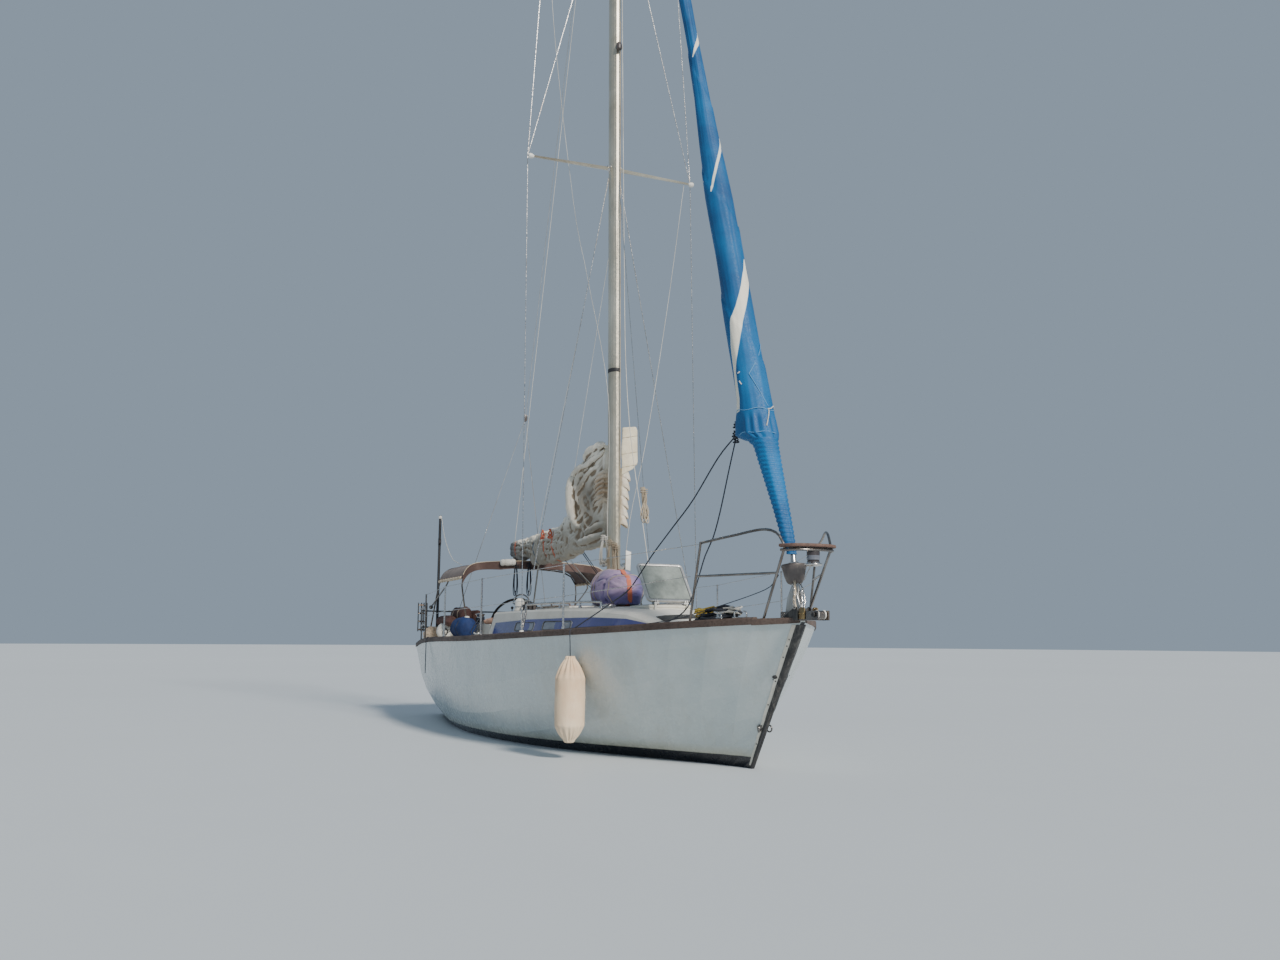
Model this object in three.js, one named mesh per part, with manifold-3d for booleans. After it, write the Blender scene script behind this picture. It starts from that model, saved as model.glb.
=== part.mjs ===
// A cruising sailing yacht of about 9.6 m, as it lies at anchor with its sails lowered.
// Millimetres. x runs forward from amidships, y to port and z up from the water.
// Each sub-part is one named mesh. The main sizes come first, then one function per sub-part.

import * as THREE from 'three';
import { mergeVertices } from 'three/addons/utils/BufferGeometryUtils.js';
import Module from 'manifold-3d';

const wasm = await Module();
wasm.setup();

// Hull
const STEM_TOP_X = 4834;
const STEM_WATER_X = 3880;
const STEM_TOP_Z = 1380;
const TRANSOM_TOP_X = -4810;
const TRANSOM_WATER_X = -4610;
const TRANSOM_TOP_Z = 1066;
const HALF_BEAM = 1700;
const HULL_WALL = 16;
const DECK_THICK = 22;
const DECK_CAMBER = 55;
const GAP = 0.35;

// Keel, rudder and drive
const KEEL_X = 350;
const KEEL_FOOT_Z = -1720;
const RUDDER_X = -4050;
const RUDDER_FOOT_Z = -1420;
const DRIVE_X = -2250;
const DRIVE_Z = -880;

// Coachroof and cockpit
const ROOF_WALL = 30;
const ROOF_AFT_X = -1650;
const ROOF_FORE_X = 2960;
const WELL_FWD_X = -1800;
const WELL_AFT_X = -4250;
const WELL_HALF = 330;
const WELL_FLOOR_Z = 690;
const WHEEL_WELL_X = -3400;
const WHEEL_WELL_HALF = 560;
const COAMING_HALF = 1010;
const COAMING_TOP_Z = 1400;
const COAMING_AFT_X = -4480;

// Hatches
const FORE_HATCH_HINGE_X = 2050;
const FORE_HATCH_LENGTH = 560;
const FORE_HATCH_WIDTH = 520;
const FORE_HATCH_OPEN = 52 * Math.PI / 180;
const COMPANION_HALF = 310;
const COMPANION_LENGTH = 640;

// Rig
const MAST_X = 343;
const MAST_FOOT_Z = 1640;
const MAST_HEAD_Z = 15100;
const MAST_RAKE = 0.0208;
const MAST_LONG = 220;
const MAST_WIDE = 150;
const CHAINPLATE_Y = 1185;
const CHAINPLATE_Z = 1252;
const BOOM_PIVOT_X = 165;
const BOOM_Z = 2440;
const BOOM_LENGTH = 4130;
const BOOM_RISE = 0.052;
const STAY_FOOT_X = 4822;
const STAY_FOOT_Z = 1500;
const STAY_HEAD_OUT = 250;
const STAY_SAG = 60;
const BACKSTAY_FOOT_X = -4660;
const BRIDLE_Z = 4700;
const BRIDLE_HALF = 860;

// Deck gear
const RAIL_RADIUS = 12.5;
const PUSHPIT_HEIGHT = 500;
const STANCHION_HEIGHT = 690;
const RAIL_INBOARD = 62;
const WHEEL_X = -3660;
const WHEEL_Z = 1370;
const WHEEL_RADIUS = 460;

const COLOURS = {
  gelcoat: { color: 0xe9ebe6, roughness: 0.35, metalness: 0 },
  deckWhite: { color: 0xe4e3dc, roughness: 0.6, metalness: 0 },
  teak: { color: 0x7a4a2c, roughness: 0.7, metalness: 0 },
  black: { color: 0x1c1d20, roughness: 0.5, metalness: 0 },
  antifoul: { color: 0x232428, roughness: 0.8, metalness: 0 },
  steel: { color: 0xc9ccd0, roughness: 0.2, metalness: 1 },
  alloy: { color: 0xcfcabd, roughness: 0.35, metalness: 0.8 },
  bronze: { color: 0x9a7a45, roughness: 0.4, metalness: 0.9 },
  acrylic: { color: 0x3a3d55, roughness: 0.15, metalness: 0 },
  sail: { color: 0xe6d9bd, roughness: 0.9, metalness: 0 },
  blueCover: { color: 0x2f5f9a, roughness: 0.9, metalness: 0 },
  brownCanvas: { color: 0x8a6a50, roughness: 0.9, metalness: 0 },
  purpleCloth: { color: 0x50406e, roughness: 0.9, metalness: 0 },
  cream: { color: 0xe8c9a6, roughness: 0.8, metalness: 0 },
  white: { color: 0xf0efe9, roughness: 0.5, metalness: 0 },
  rope: { color: 0x2a2a22, roughness: 0.95, metalness: 0 },
  blueCloth: { color: 0x1f3f86, roughness: 0.9, metalness: 0 },
  engine: { color: 0x3f6a52, roughness: 0.5, metalness: 0.3 },
};

const yacht = new THREE.Group();

// Small helpers: a body joins or cuts as a solid, and goes back to a geometry as a mesh.

function toSolid(geometry) {
  const bare = geometry.clone();
  bare.deleteAttribute('normal');
  bare.deleteAttribute('uv');
  const merged = mergeVertices(bare, 1e-3);
  return new wasm.Manifold(new wasm.Mesh({
    numProp: 3,
    vertProperties: new Float32Array(merged.attributes.position.array),
    triVerts: new Uint32Array(merged.index.array),
  }));
}

function toGeometry(solid) {
  const mesh = solid.getMesh();
  const geometry = new THREE.BufferGeometry();
  geometry.setAttribute('position', new THREE.BufferAttribute(mesh.vertProperties, 3));
  geometry.setIndex(new THREE.BufferAttribute(mesh.triVerts, 1));
  geometry.computeVertexNormals();
  return geometry;
}

function addPart(name, shape, material) {
  const geometry = shape.isBufferGeometry ? shape : toGeometry(shape);
  const mesh = new THREE.Mesh(geometry, new THREE.MeshStandardMaterial(material));
  mesh.name = name;
  yacht.add(mesh);
  return mesh;
}

function fuse(solids) {
  return solids.reduce((all, one) => all.add(one));
}

function vec(x, y, z) {
  return new THREE.Vector3(x, y, z);
}

// A closed body through rings that all have the same number of [x, y, z] points.
function loft(rings) {
  const count = rings[0].length;
  const points = rings.flat(2);
  const faces = [];
  for (let i = 0; i < rings.length - 1; i++) {
    for (let j = 0; j < count; j++) {
      const a = i * count + j;
      const b = i * count + (j + 1) % count;
      faces.push(a, b, a + count, b, b + count, a + count);
    }
  }
  const last = (rings.length - 1) * count;
  for (let j = 0; j < Math.floor(count / 2); j++) {
    const k = count - 1 - j;
    if (k - j < 2) {
      break;
    }
    faces.push(j, k, j + 1);
    faces.push(last + j, last + j + 1, last + k);
    if (k - 1 > j + 1) {
      faces.push(k, k - 1, j + 1);
      faces.push(last + k, last + j + 1, last + k - 1);
    }
  }
  if (signedVolume(points, faces) < 0) {
    for (let i = 0; i < faces.length; i += 3) {
      [faces[i], faces[i + 1]] = [faces[i + 1], faces[i]];
    }
  }
  const geometry = new THREE.BufferGeometry();
  geometry.setAttribute('position', new THREE.Float32BufferAttribute(points, 3));
  geometry.setIndex(faces);
  return toSolid(geometry);
}

function signedVolume(points, faces) {
  const a = new THREE.Vector3();
  const b = new THREE.Vector3();
  const c = new THREE.Vector3();
  let sum = 0;
  for (let i = 0; i < faces.length; i += 3) {
    a.fromArray(points, faces[i] * 3);
    b.fromArray(points, faces[i + 1] * 3);
    c.fromArray(points, faces[i + 2] * 3);
    sum += a.dot(b.cross(c));
  }
  return sum;
}

function box(x0, x1, y0, y1, z0, z1) {
  const geometry = new THREE.BoxGeometry(x1 - x0, y1 - y0, z1 - z0);
  geometry.translate((x0 + x1) / 2, (y0 + y1) / 2, (z0 + z1) / 2);
  return toSolid(geometry);
}

// A round bar between two points.
function rod(from, to, radius, sides = 8, endRadius = radius) {
  const length = from.distanceTo(to);
  const geometry = new THREE.CylinderGeometry(endRadius, radius, length, sides);
  const turn = new THREE.Quaternion().setFromUnitVectors(
    vec(0, 1, 0), to.clone().sub(from).normalize());
  geometry.applyQuaternion(turn);
  const middle = from.clone().add(to).multiplyScalar(0.5);
  geometry.translate(middle.x, middle.y, middle.z);
  return toSolid(geometry);
}

function ball(centre, radius, sides = 10) {
  const geometry = new THREE.SphereGeometry(radius, sides, Math.ceil(sides * 0.7));
  geometry.translate(centre.x, centre.y, centre.z);
  return toSolid(geometry);
}

// A bent tube through points, as one extrusion with closed ends.
function tube(points, radius, sides = 8, steps = 6 * points.length) {
  const section = new THREE.Shape();
  for (let i = 0; i < sides; i++) {
    const angle = 2 * Math.PI * i / sides;
    const place = [radius * Math.cos(angle), radius * Math.sin(angle)];
    i === 0 ? section.moveTo(...place) : section.lineTo(...place);
  }
  const path = new THREE.CatmullRomCurve3(points, false, 'centripetal');
  return toSolid(new THREE.ExtrudeGeometry(section, { steps, extrudePath: path }));
}

// A body turned about the z axis from [radius, z] pairs that start and end on the axis.
function turned(profile, sides, x = 0, y = 0) {
  const outline = profile.map(([r, z]) => new THREE.Vector2(r, z));
  const geometry = new THREE.LatheGeometry(outline, sides);
  geometry.rotateX(Math.PI / 2);
  geometry.translate(x, y, 0);
  const solid = toSolid(geometry);
  return solid;
}

// Hull lines. Columns: share of length from the stem, share of the half beam,
// sheer height, height of the body's bottom, fullness of the section, flare.
const HULL_LINES = [
  [0.00, 0.010, 1380, -30, 1.35, 0.00],
  [0.05, 0.250, 1350, -190, 1.45, 0.00],
  [0.10, 0.440, 1322, -290, 1.55, 0.00],
  [0.20, 0.705, 1273, -410, 1.85, 0.00],
  [0.30, 0.865, 1237, -490, 2.25, 0.01],
  [0.40, 0.955, 1207, -540, 2.60, 0.03],
  [0.50, 0.992, 1185, -560, 2.85, 0.04],
  [0.60, 1.000, 1172, -540, 3.00, 0.05],
  [0.70, 0.978, 1165, -475, 3.00, 0.06],
  [0.80, 0.940, 1150, -370, 3.00, 0.08],
  [0.90, 0.875, 1118, -245, 3.10, 0.10],
  [1.00, 0.790, 1066, -115, 3.30, 0.13],
];
const hullLines = new THREE.CubicInterpolant(
  HULL_LINES.map((row) => row[0]), HULL_LINES.flatMap((row) => row.slice(1)), 5);

function hullAt(share) {
  const [beam, sheer, bottom, fullness, flare] = hullLines.evaluate(share);
  return { half: beam * HALF_BEAM, sheer, bottom, fullness, flare };
}

function stationX(share, z) {
  const stem = STEM_WATER_X + (STEM_TOP_X - STEM_WATER_X) * z / STEM_TOP_Z;
  const transom = TRANSOM_WATER_X + (TRANSOM_TOP_X - TRANSOM_WATER_X) * z / TRANSOM_TOP_Z;
  return stem + (transom - stem) * share;
}

// The share of the length at which the sheer stands at a given x.
function shareAt(x) {
  let low = 0;
  let high = 1;
  for (let i = 0; i < 24; i++) {
    const middle = (low + high) / 2;
    stationX(middle, hullAt(middle).sheer) > x ? low = middle : high = middle;
  }
  return (low + high) / 2;
}

function sheerZ(x) {
  return hullAt(shareAt(x)).sheer;
}

function halfBeam(x) {
  return hullAt(shareAt(x)).half;
}

// Hull, deck and toe rails share these stations, closer together at the bow.
const STATION_COUNT = 22;
const STATIONS = Array.from({ length: STATION_COUNT + 1 }, (_, i) => {
  const even = i / STATION_COUNT;
  return 0.75 * even + 0.25 * even * even;
});
const SECTION_STEPS = 8;

function hullRing(share, inset, lift) {
  const { half, sheer, bottom, fullness, flare } = hullAt(share);
  const wide = Math.max(half - inset, 6);
  const low = bottom + inset;
  const ring = [];
  for (let i = -SECTION_STEPS; i <= SECTION_STEPS; i++) {
    const angle = Math.abs(i) / SECTION_STEPS * Math.PI / 2;
    const out = Math.sin(angle) ** (2 / fullness);
    const down = Math.abs(i) === SECTION_STEPS ? 0 : Math.cos(angle) ** (2 / fullness);
    const z = sheer - (sheer - low) * down;
    const y = -Math.sign(i) * wide * out * (1 - flare * down);
    const top = Math.abs(i) === SECTION_STEPS ? lift : 0;
    ring.push([stationX(share, z), y, z + top]);
  }
  return ring;
}

function hullSolid(inset, lift, shares) {
  return loft(shares.map((share) => hullRing(share, inset, lift)));
}

// Coachroof lines. Columns: x, half width at its foot, height of its centre.
const ROOF_LINES = [
  [2960, 370, 1345],
  [2740, 470, 1410],
  [2120, 640, 1540],
  [1450, 770, 1590],
  [700, 880, 1608],
  [-300, 990, 1612],
  [-1650, 1060, 1606],
];
const roofLines = new THREE.LinearInterpolant(
  ROOF_LINES.map((row) => -row[0]), ROOF_LINES.flatMap((row) => row.slice(1)), 2);
const ROOF_LEAN = 0.28;
const ROOF_CAMBER = 45;

function roofAt(x) {
  const [foot, top] = roofLines.evaluate(-x);
  return { foot, top };
}

// The coachroof side's outer y at a height.
function roofSideY(x, z) {
  return roofAt(x).foot - ROOF_LEAN * (z - 1200);
}

function roofRing(x, inset, bottom) {
  const { top } = roofAt(x);
  const edge = top - ROOF_CAMBER - inset;
  const low = roofSideY(x, bottom) - inset;
  const high = roofSideY(x, edge - 25) - inset;
  const ring = [[x, -low, bottom], [x, -high, edge - 25], [x, -high + 30, edge]];
  for (const share of [-0.5, 0, 0.5]) {
    ring.push([x, share * high, top - inset - ROOF_CAMBER * share * share]);
  }
  ring.push([x, high - 30, edge], [x, high, edge - 25], [x, low, bottom]);
  ring.push([x, 0, bottom]);
  return ring;
}

function roofSolid(inset, bottom, foreX, aftX) {
  const places = ROOF_LINES.map((row) => row[0]).filter((x) => x < foreX && x > aftX);
  return loft([foreX, ...places, aftX].map((x) => roofRing(x, inset, bottom)));
}

// Skins a small gap outside the roof, the deck and the mast, for what stands on them.
function roofSkin() {
  return roofSolid(-GAP, 1100, ROOF_FORE_X, ROOF_AFT_X);
}

function deckSkin() {
  return loft(STATIONS.map((share) => deckRing(share, GAP)));
}

function mastSkin() {
  const foot = vec(mastX(MAST_FOOT_Z), 0, MAST_FOOT_Z);
  const head = vec(mastX(MAST_HEAD_Z), 0, MAST_HEAD_Z);
  return oval(foot, head, MAST_LONG + 2 * GAP, MAST_WIDE + 2 * GAP);
}

function insideStations() {
  return [...STATIONS.slice(1, -1), 1 - HULL_WALL / (STEM_TOP_X - TRANSOM_TOP_X)];
}

function makeHull() {
  const outer = hullSolid(0, 0, STATIONS);
  const inner = hullSolid(HULL_WALL, 200, insideStations());
  const stockHole = rod(
    vec(RUDDER_X, 0, -420), vec(RUDDER_X, 0, 300), 25.5, 16);
  const stockTube = rod(
    vec(RUDDER_X, 0, -180), vec(RUDDER_X, 0, 420), 42, 16);
  const tubeHole = rod(vec(RUDDER_X, 0, -420), vec(RUDDER_X, 0, 460), 25.5, 16);
  const driveHole = rod(vec(DRIVE_X, 0, -700), vec(DRIVE_X, 0, -200), 90, 20);
  const shell = outer.subtract(inner).add(stockTube).subtract(stockHole);
  addPart('hull', shell.subtract(tubeHole).subtract(driveHole), COLOURS.gelcoat);
}

// Height of the flat-faced deck at a place, between its stations and their eight strips.
function deckZ(x, y) {
  const rows = STATIONS.map((share) => {
    const { half, sheer } = hullAt(share);
    return { at: stationX(share, sheer), half, sheer };
  });
  const next = Math.max(1, rows.findIndex((row) => row.at < x));
  const height = (row) => {
    const part = Math.min(Math.abs(y) / row.half, 1) * 4;
    const low = Math.floor(part);
    const crown = (i) => 1 - (i / 4) ** 2;
    const bow = crown(low) + (crown(low + 1) - crown(low)) * (part - low);
    return row.sheer + GAP + DECK_THICK + DECK_CAMBER * row.half / HALF_BEAM * bow;
  };
  const share = (rows[next - 1].at - x) / (rows[next - 1].at - rows[next].at);
  return height(rows[next - 1]) + (height(rows[next]) - height(rows[next - 1])) * share;
}

function deckRing(share, lift = 0) {
  const { half: edge, sheer } = hullAt(share);
  const half = edge + lift;
  const ring = [];
  const crown = DECK_CAMBER * edge / HALF_BEAM;
  for (let i = -4; i <= 4; i++) {
    const part = i / 4;
    const z = sheer + GAP + DECK_THICK + crown * (1 - part * part) + lift;
    ring.push([stationX(share, sheer), part * half, z]);
  }
  ring.push([stationX(share, sheer), half, sheer + GAP]);
  ring.push([stationX(share, sheer), -half, sheer + GAP]);
  return ring;
}

// The cockpit well: narrow between the seats, wide at the wheel.
function wellSolid(wall, low, high) {
  const narrow = WELL_HALF + wall;
  const wide = WHEEL_WELL_HALF + wall;
  return box(WHEEL_WELL_X - 10, WELL_FWD_X + wall, -narrow, narrow, low, high)
    .add(box(WELL_AFT_X - wall, WHEEL_WELL_X + wall, -wide, wide, low, high));
}

function makeDeck() {
  const slab = loft(STATIONS.map((share) => deckRing(share)));
  const roof = roofSolid(0, 1150, ROOF_FORE_X, ROOF_AFT_X);
  const room = roofSolid(ROOF_WALL, 1000, 2600, ROOF_AFT_X + ROOF_WALL);
  const coaming = makeCoaming();
  const wellOuter = wellSolid(14, WELL_FLOOR_Z - 16, 1180);
  const wellInner = wellSolid(0, WELL_FLOOR_Z, 1500);
  let body = slab.add(roof).subtract(room);
  body = body.add(coaming).add(wellOuter).subtract(wellInner);
  for (const side of [-1, 1]) {
    for (const [x0, x1, z0, z1] of WINDOWS) {
      const inner = side * (roofAt((x0 + x1) / 2).foot - 260);
      const outer = side * (roofAt((x0 + x1) / 2).foot + 160);
      const [y0, y1] = side > 0 ? [inner, outer] : [outer, inner];
      body = body.subtract(box(x0, x1, y0, y1, z0, z1));
    }
  }
  body = body.add(makeForeHatchCoaming());
  const hatchHalf = FORE_HATCH_WIDTH / 2 - 40;
  body = body.subtract(box(FORE_HATCH_HINGE_X - FORE_HATCH_LENGTH + 40, FORE_HATCH_HINGE_X - 45,
    -hatchHalf, hatchHalf, 1300, 1800));
  body = body.add(makeCompanionRails());
  body = body.subtract(box(ROOF_AFT_X - 5, ROOF_AFT_X + COMPANION_LENGTH,
    -COMPANION_HALF, COMPANION_HALF, 1300, 1700));
  const mastStep = box(MAST_X - 150, MAST_X + 150, -120, 120, 1560, MAST_FOOT_Z - 2.7);
  addPart('deck', body.add(mastStep), COLOURS.deckWhite);
}

// Window openings in each coachroof side. Columns: aft x, forward x, low z, high z.
const WINDOWS = [
  [-1180, -420, 1290, 1410],
  [-120, 700, 1300, 1420],
  [1000, 1600, 1318, 1415],
];

function coamingOutline(out) {
  const outline = new THREE.Shape();
  outline.moveTo(ROOF_AFT_X - 60 + out, -COAMING_HALF - out);
  outline.lineTo(-3300, -COAMING_HALF - out);
  outline.lineTo(COAMING_AFT_X - out, -880 - out);
  outline.lineTo(COAMING_AFT_X - out, 880 + out);
  outline.lineTo(-3300, COAMING_HALF + out);
  outline.lineTo(ROOF_AFT_X - 60 + out, COAMING_HALF + out);
  return outline;
}

function upright(outline, z0, z1) {
  const geometry = new THREE.ExtrudeGeometry(outline, { depth: z1 - z0, bevelEnabled: false });
  geometry.translate(0, 0, z0);
  return toSolid(geometry);
}

function makeCoaming() {
  const outer = upright(coamingOutline(0), 1150, COAMING_TOP_Z);
  const bridge = box(ROOF_AFT_X - 100, ROOF_AFT_X + 10, -COAMING_HALF, COAMING_HALF, 1150, 1300);
  return outer.subtract(upright(coamingOutline(-110), 1100, 1500)).add(bridge);
}

const FORE_HATCH_TOP_Z = 1590;
const HINGE_RADIUS = 12;
const HINGE_LIFT = 18;

function makeForeHatchCoaming() {
  const half = FORE_HATCH_WIDTH / 2;
  const parts = [box(FORE_HATCH_HINGE_X - FORE_HATCH_LENGTH, FORE_HATCH_HINGE_X - 16,
    -half, half, 1510, FORE_HATCH_TOP_Z)];
  for (const side of [-1, 1]) {
    const y = side * (half * 0.7 + 12.5);
    parts.push(box(FORE_HATCH_HINGE_X - 20, FORE_HATCH_HINGE_X + HINGE_RADIUS, y - 12, y + 12,
      1510, FORE_HATCH_TOP_Z - 4));
    parts.push(box(FORE_HATCH_HINGE_X - HINGE_RADIUS + 4, FORE_HATCH_HINGE_X + HINGE_RADIUS,
      y - 12, y + 12, 1510, FORE_HATCH_TOP_Z + HINGE_LIFT + 6));
  }
  return fuse(parts);
}

const RAIL_TOP_Z = 1625;

function makeCompanionRails() {
  const rails = [];
  for (const side of [-1, 1]) {
    const y = side * (COMPANION_HALF + 22);
    rails.push(box(ROOF_AFT_X + 2, ROOF_AFT_X + 2 * COMPANION_LENGTH + 40, y - 18, y + 18, 1570, RAIL_TOP_Z));
  }
  return fuse(rails);
}

// The teak rail on the deck edge, with its lip over the joint of deck and hull.
function toeRail(side, grow) {
  return loft(STATIONS.slice(1).map((share) => {
    const { half, sheer } = hullAt(share);
    const x = stationX(share, sheer);
    const foot = sheer + GAP + DECK_THICK + GAP;
    return [
      [half + 12 + grow, sheer - 8 - grow], [half + 12 + grow, sheer + 46], [half + 4, sheer + 60 + grow],
      [half - 30, sheer + 60 + grow], [half - 36 - grow, foot + 6], [half + 1, foot], [half + 1, sheer - 8],
    ].map(([y, z]) => [x, side * y, z]);
  }));
}

function makeToeRail(side, name) {
  addPart(name, toeRail(side, 0), COLOURS.teak);
}

// The bolted guard plate down the stem.
function makeStemPlate() {
  const rings = [];
  for (const z of [-20, 350, 700, 1050, 1370]) {
    const x = stationX(0, z);
    rings.push([[x + 0.4, -22, z], [x + 6, -16, z], [x + 8, 0, z], [x + 6, 16, z], [x + 0.4, 22, z]]);
  }
  addPart('stem_plate', loft(rings), COLOURS.black);
}

// A foil section with its nose forward: [x, y] pairs round the outline.
function foilRing(noseX, tailX, thick, z) {
  const chord = noseX - tailX;
  const half = [[0, 0.02], [0.06, 0.62], [0.3, 1], [0.65, 0.7], [1, 0.06]];
  const port = half.map(([along, out]) => [noseX - along * chord, out * thick / 2, z]);
  const starboard = half.map(([along, out]) => [noseX - along * chord, -out * thick / 2, z]);
  return [...port, ...starboard.reverse()];
}

function makeKeel() {
  const rings = [
    foilRing(KEEL_X + 900, KEEL_X - 900, 190, -380),
    foilRing(KEEL_X + 800, KEEL_X - 850, 170, -620),
    foilRing(KEEL_X + 430, KEEL_X - 800, 190, KEEL_FOOT_Z + 260),
    foilRing(KEEL_X + 380, KEEL_X - 800, 240, KEEL_FOOT_Z),
  ];
  const outside = hullSolid(-GAP, 0, STATIONS);
  addPart('keel', loft(rings).subtract(outside), COLOURS.antifoul);
}

function makeRudder() {
  const blade = loft([
    foilRing(RUDDER_X + 150, RUDDER_X - 420, 96, -330),
    foilRing(RUDDER_X + 130, RUDDER_X - 360, 84, -800),
    foilRing(RUDDER_X + 90, RUDDER_X - 270, 60, RUDDER_FOOT_Z),
  ]);
  const stock = rod(vec(RUDDER_X, 0, -400), vec(RUDDER_X, 0, 500), 25, 16);
  const quadrant = box(RUDDER_X - 40, RUDDER_X + 190, -150, 150, 440, 470);
  addPart('rudder', blade.add(stock).add(quadrant), COLOURS.antifoul);
}

function makeDriveLeg() {
  const leg = loft([
    foilRing(DRIVE_X + 110, DRIVE_X - 130, 76, DRIVE_Z),
    foilRing(DRIVE_X + 110, DRIVE_X - 130, 86, -620),
    foilRing(DRIVE_X + 70, DRIVE_X - 76, 96, -520),
    foilRing(DRIVE_X + 70, DRIVE_X - 76, 96, -380),
  ]);
  const pod = rod(vec(DRIVE_X - 190, 0, DRIVE_Z), vec(DRIVE_X + 120, 0, DRIVE_Z), 62, 16, 40);
  const flange = box(DRIVE_X - 170, DRIVE_X + 170, -140, 140, -480, -400)
    .intersect(hullSolid(HULL_WALL + GAP, 0, insideStations()));
  addPart('drive_leg', fuse([leg, pod, flange]), COLOURS.alloy);
}

const PROP_RADIUS = 205;

function makePropeller() {
  const x = DRIVE_X - 190.8;
  const parts = [rod(vec(x - 110, 0, DRIVE_Z), vec(x, 0, DRIVE_Z), 30, 16, 46)];
  for (let i = 0; i < 3; i++) {
    const rings = [];
    // Columns: radius, half chord, pitch angle in degrees, thickness.
    for (const [r, half, pitch, thick] of [[30, 34, 58, 14], [90, 66, 38, 10],
      [160, 62, 26, 7], [PROP_RADIUS, 26, 22, 4]]) {
      const c = Math.cos(pitch * Math.PI / 180);
      const s = Math.sin(pitch * Math.PI / 180);
      const ring = [[-half, 0], [0, thick / 2], [half, 0], [0, -thick / 2]].map(([u, v]) => {
        const along = u * s + v * c;
        const across = u * c - v * s;
        return [x - 52 + along, across, r];
      });
      rings.push(ring);
    }
    const blade = loft(rings).rotate([i * 120, 0, 0]).translate([0, 0, DRIVE_Z]);
    parts.push(blade);
  }
  addPart('propeller', fuse(parts), COLOURS.bronze);
}

function makeInside() {
  const sole = box(-1500, 2200, -1500, 1500, -320, -298);
  const inside = hullSolid(HULL_WALL + GAP, 0, insideStations());
  addPart('cabin_sole', sole.intersect(inside), COLOURS.teak);
  addPart('engine_block', box(-2450, -1750, -230, 230, -380 + GAP, 280), COLOURS.engine);
}

// Dark acrylic strips over the coachroof windows.
function makeWindowBand(side, name) {
  const rings = [];
  // Columns: x, low z, high z.
  for (const [x, low, high] of [[-1480, 1268, 1412], [-300, 1276, 1446], [700, 1290, 1452],
    [1450, 1306, 1452], [2120, 1328, 1430], [2500, 1350, 1378]]) {
    rings.push([
      [x, side * (roofSideY(x, low) + GAP), low], [x, side * (roofSideY(x, low) + 7), low],
      [x, side * (roofSideY(x, high) + 7), high], [x, side * (roofSideY(x, high) + GAP), high],
    ]);
  }
  addPart(name, loft(rings), COLOURS.acrylic);
}

function makeForeHatchLid() {
  const half = FORE_HATCH_WIDTH / 2;
  const low = 5 - HINGE_LIFT;
  const lid = fuse([
    box(-FORE_HATCH_LENGTH, -HINGE_RADIUS - 6, -half, half, low, low + 32),
    box(-HINGE_RADIUS - 10, 0, -half * 0.7, half * 0.7, low + 6, low + 20),
    rod(vec(0, -half * 0.7, 0), vec(0, half * 0.7, 0), HINGE_RADIUS, 12),
  ]);
  const opened = lid.rotate([0, FORE_HATCH_OPEN * 180 / Math.PI, 0])
    .translate([FORE_HATCH_HINGE_X, 0, FORE_HATCH_TOP_Z + HINGE_LIFT]);
  addPart('fore_hatch_lid', opened, COLOURS.acrylic);
}

function makeCompanionway() {
  const half = COMPANION_HALF;
  const x0 = ROOF_AFT_X - 30;
  const x1 = ROOF_AFT_X + COMPANION_LENGTH + 30;
  const low = RAIL_TOP_Z + 0.5;
  const top = box(x0, x1, -half - 38, half + 38, low, low + 22);
  addPart('sliding_hatch', top.add(box(x0, x0 + 24, -half + 8, half - 8, low - 25, low + 10)),
    COLOURS.deckWhite);
  addPart('washboard', box(ROOF_AFT_X + 4, ROOF_AFT_X + 24, -half + GAP, half - GAP, 1300 + GAP, 1560),
    COLOURS.teak);
}

function mastX(z) {
  return MAST_X - MAST_RAKE * (z - MAST_FOOT_Z);
}

// An oval prism between two points on the centreline plane.
function oval(from, to, long, wide, sides = 14) {
  const length = from.distanceTo(to);
  const geometry = new THREE.CylinderGeometry(0.5, 0.5, length, sides);
  geometry.scale(long, 1, wide);
  geometry.rotateX(Math.PI / 2);
  const turn = new THREE.Quaternion().setFromUnitVectors(
    vec(0, 0, 1), to.clone().sub(from).normalize());
  geometry.applyQuaternion(turn);
  const middle = from.clone().add(to).multiplyScalar(0.5);
  geometry.translate(middle.x, middle.y, middle.z);
  return toSolid(geometry);
}

function makeMast() {
  const foot = vec(mastX(MAST_FOOT_Z), 0, MAST_FOOT_Z);
  const head = vec(mastX(MAST_HEAD_Z), 0, MAST_HEAD_Z);
  const parts = [oval(foot, head, MAST_LONG, MAST_WIDE)];
  parts.push(box(head.x - 190, head.x + STAY_HEAD_OUT + 20, -28, 28, head.z - 60, head.z + 20));
  const aft = mastX(BOOM_Z) - MAST_LONG / 2;
  for (const z of [BOOM_Z - 62, BOOM_Z + 50]) {
    parts.push(box(BOOM_PIVOT_X - 22, aft + 20, -22, 22, z, z + 12));
  }
  parts.push(rod(vec(BOOM_PIVOT_X, 0, BOOM_Z - 60), vec(BOOM_PIVOT_X, 0, BOOM_Z + 60), 8, 12));
  addPart('mast', fuse(parts), COLOURS.alloy);
}

// Spreaders. Columns: height on the mast, half length, sweep aft, rise of the tip.
const SPREADERS = [
  { name: 'lower', z: 7410, half: 1176, sweep: 120, rise: 40 },
  { name: 'upper', z: 11900, half: 900, sweep: 110, rise: 40 },
];

function spreaderTip(row, side) {
  return vec(mastX(row.z) - row.sweep, side * row.half, row.z + row.rise);
}

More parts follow.
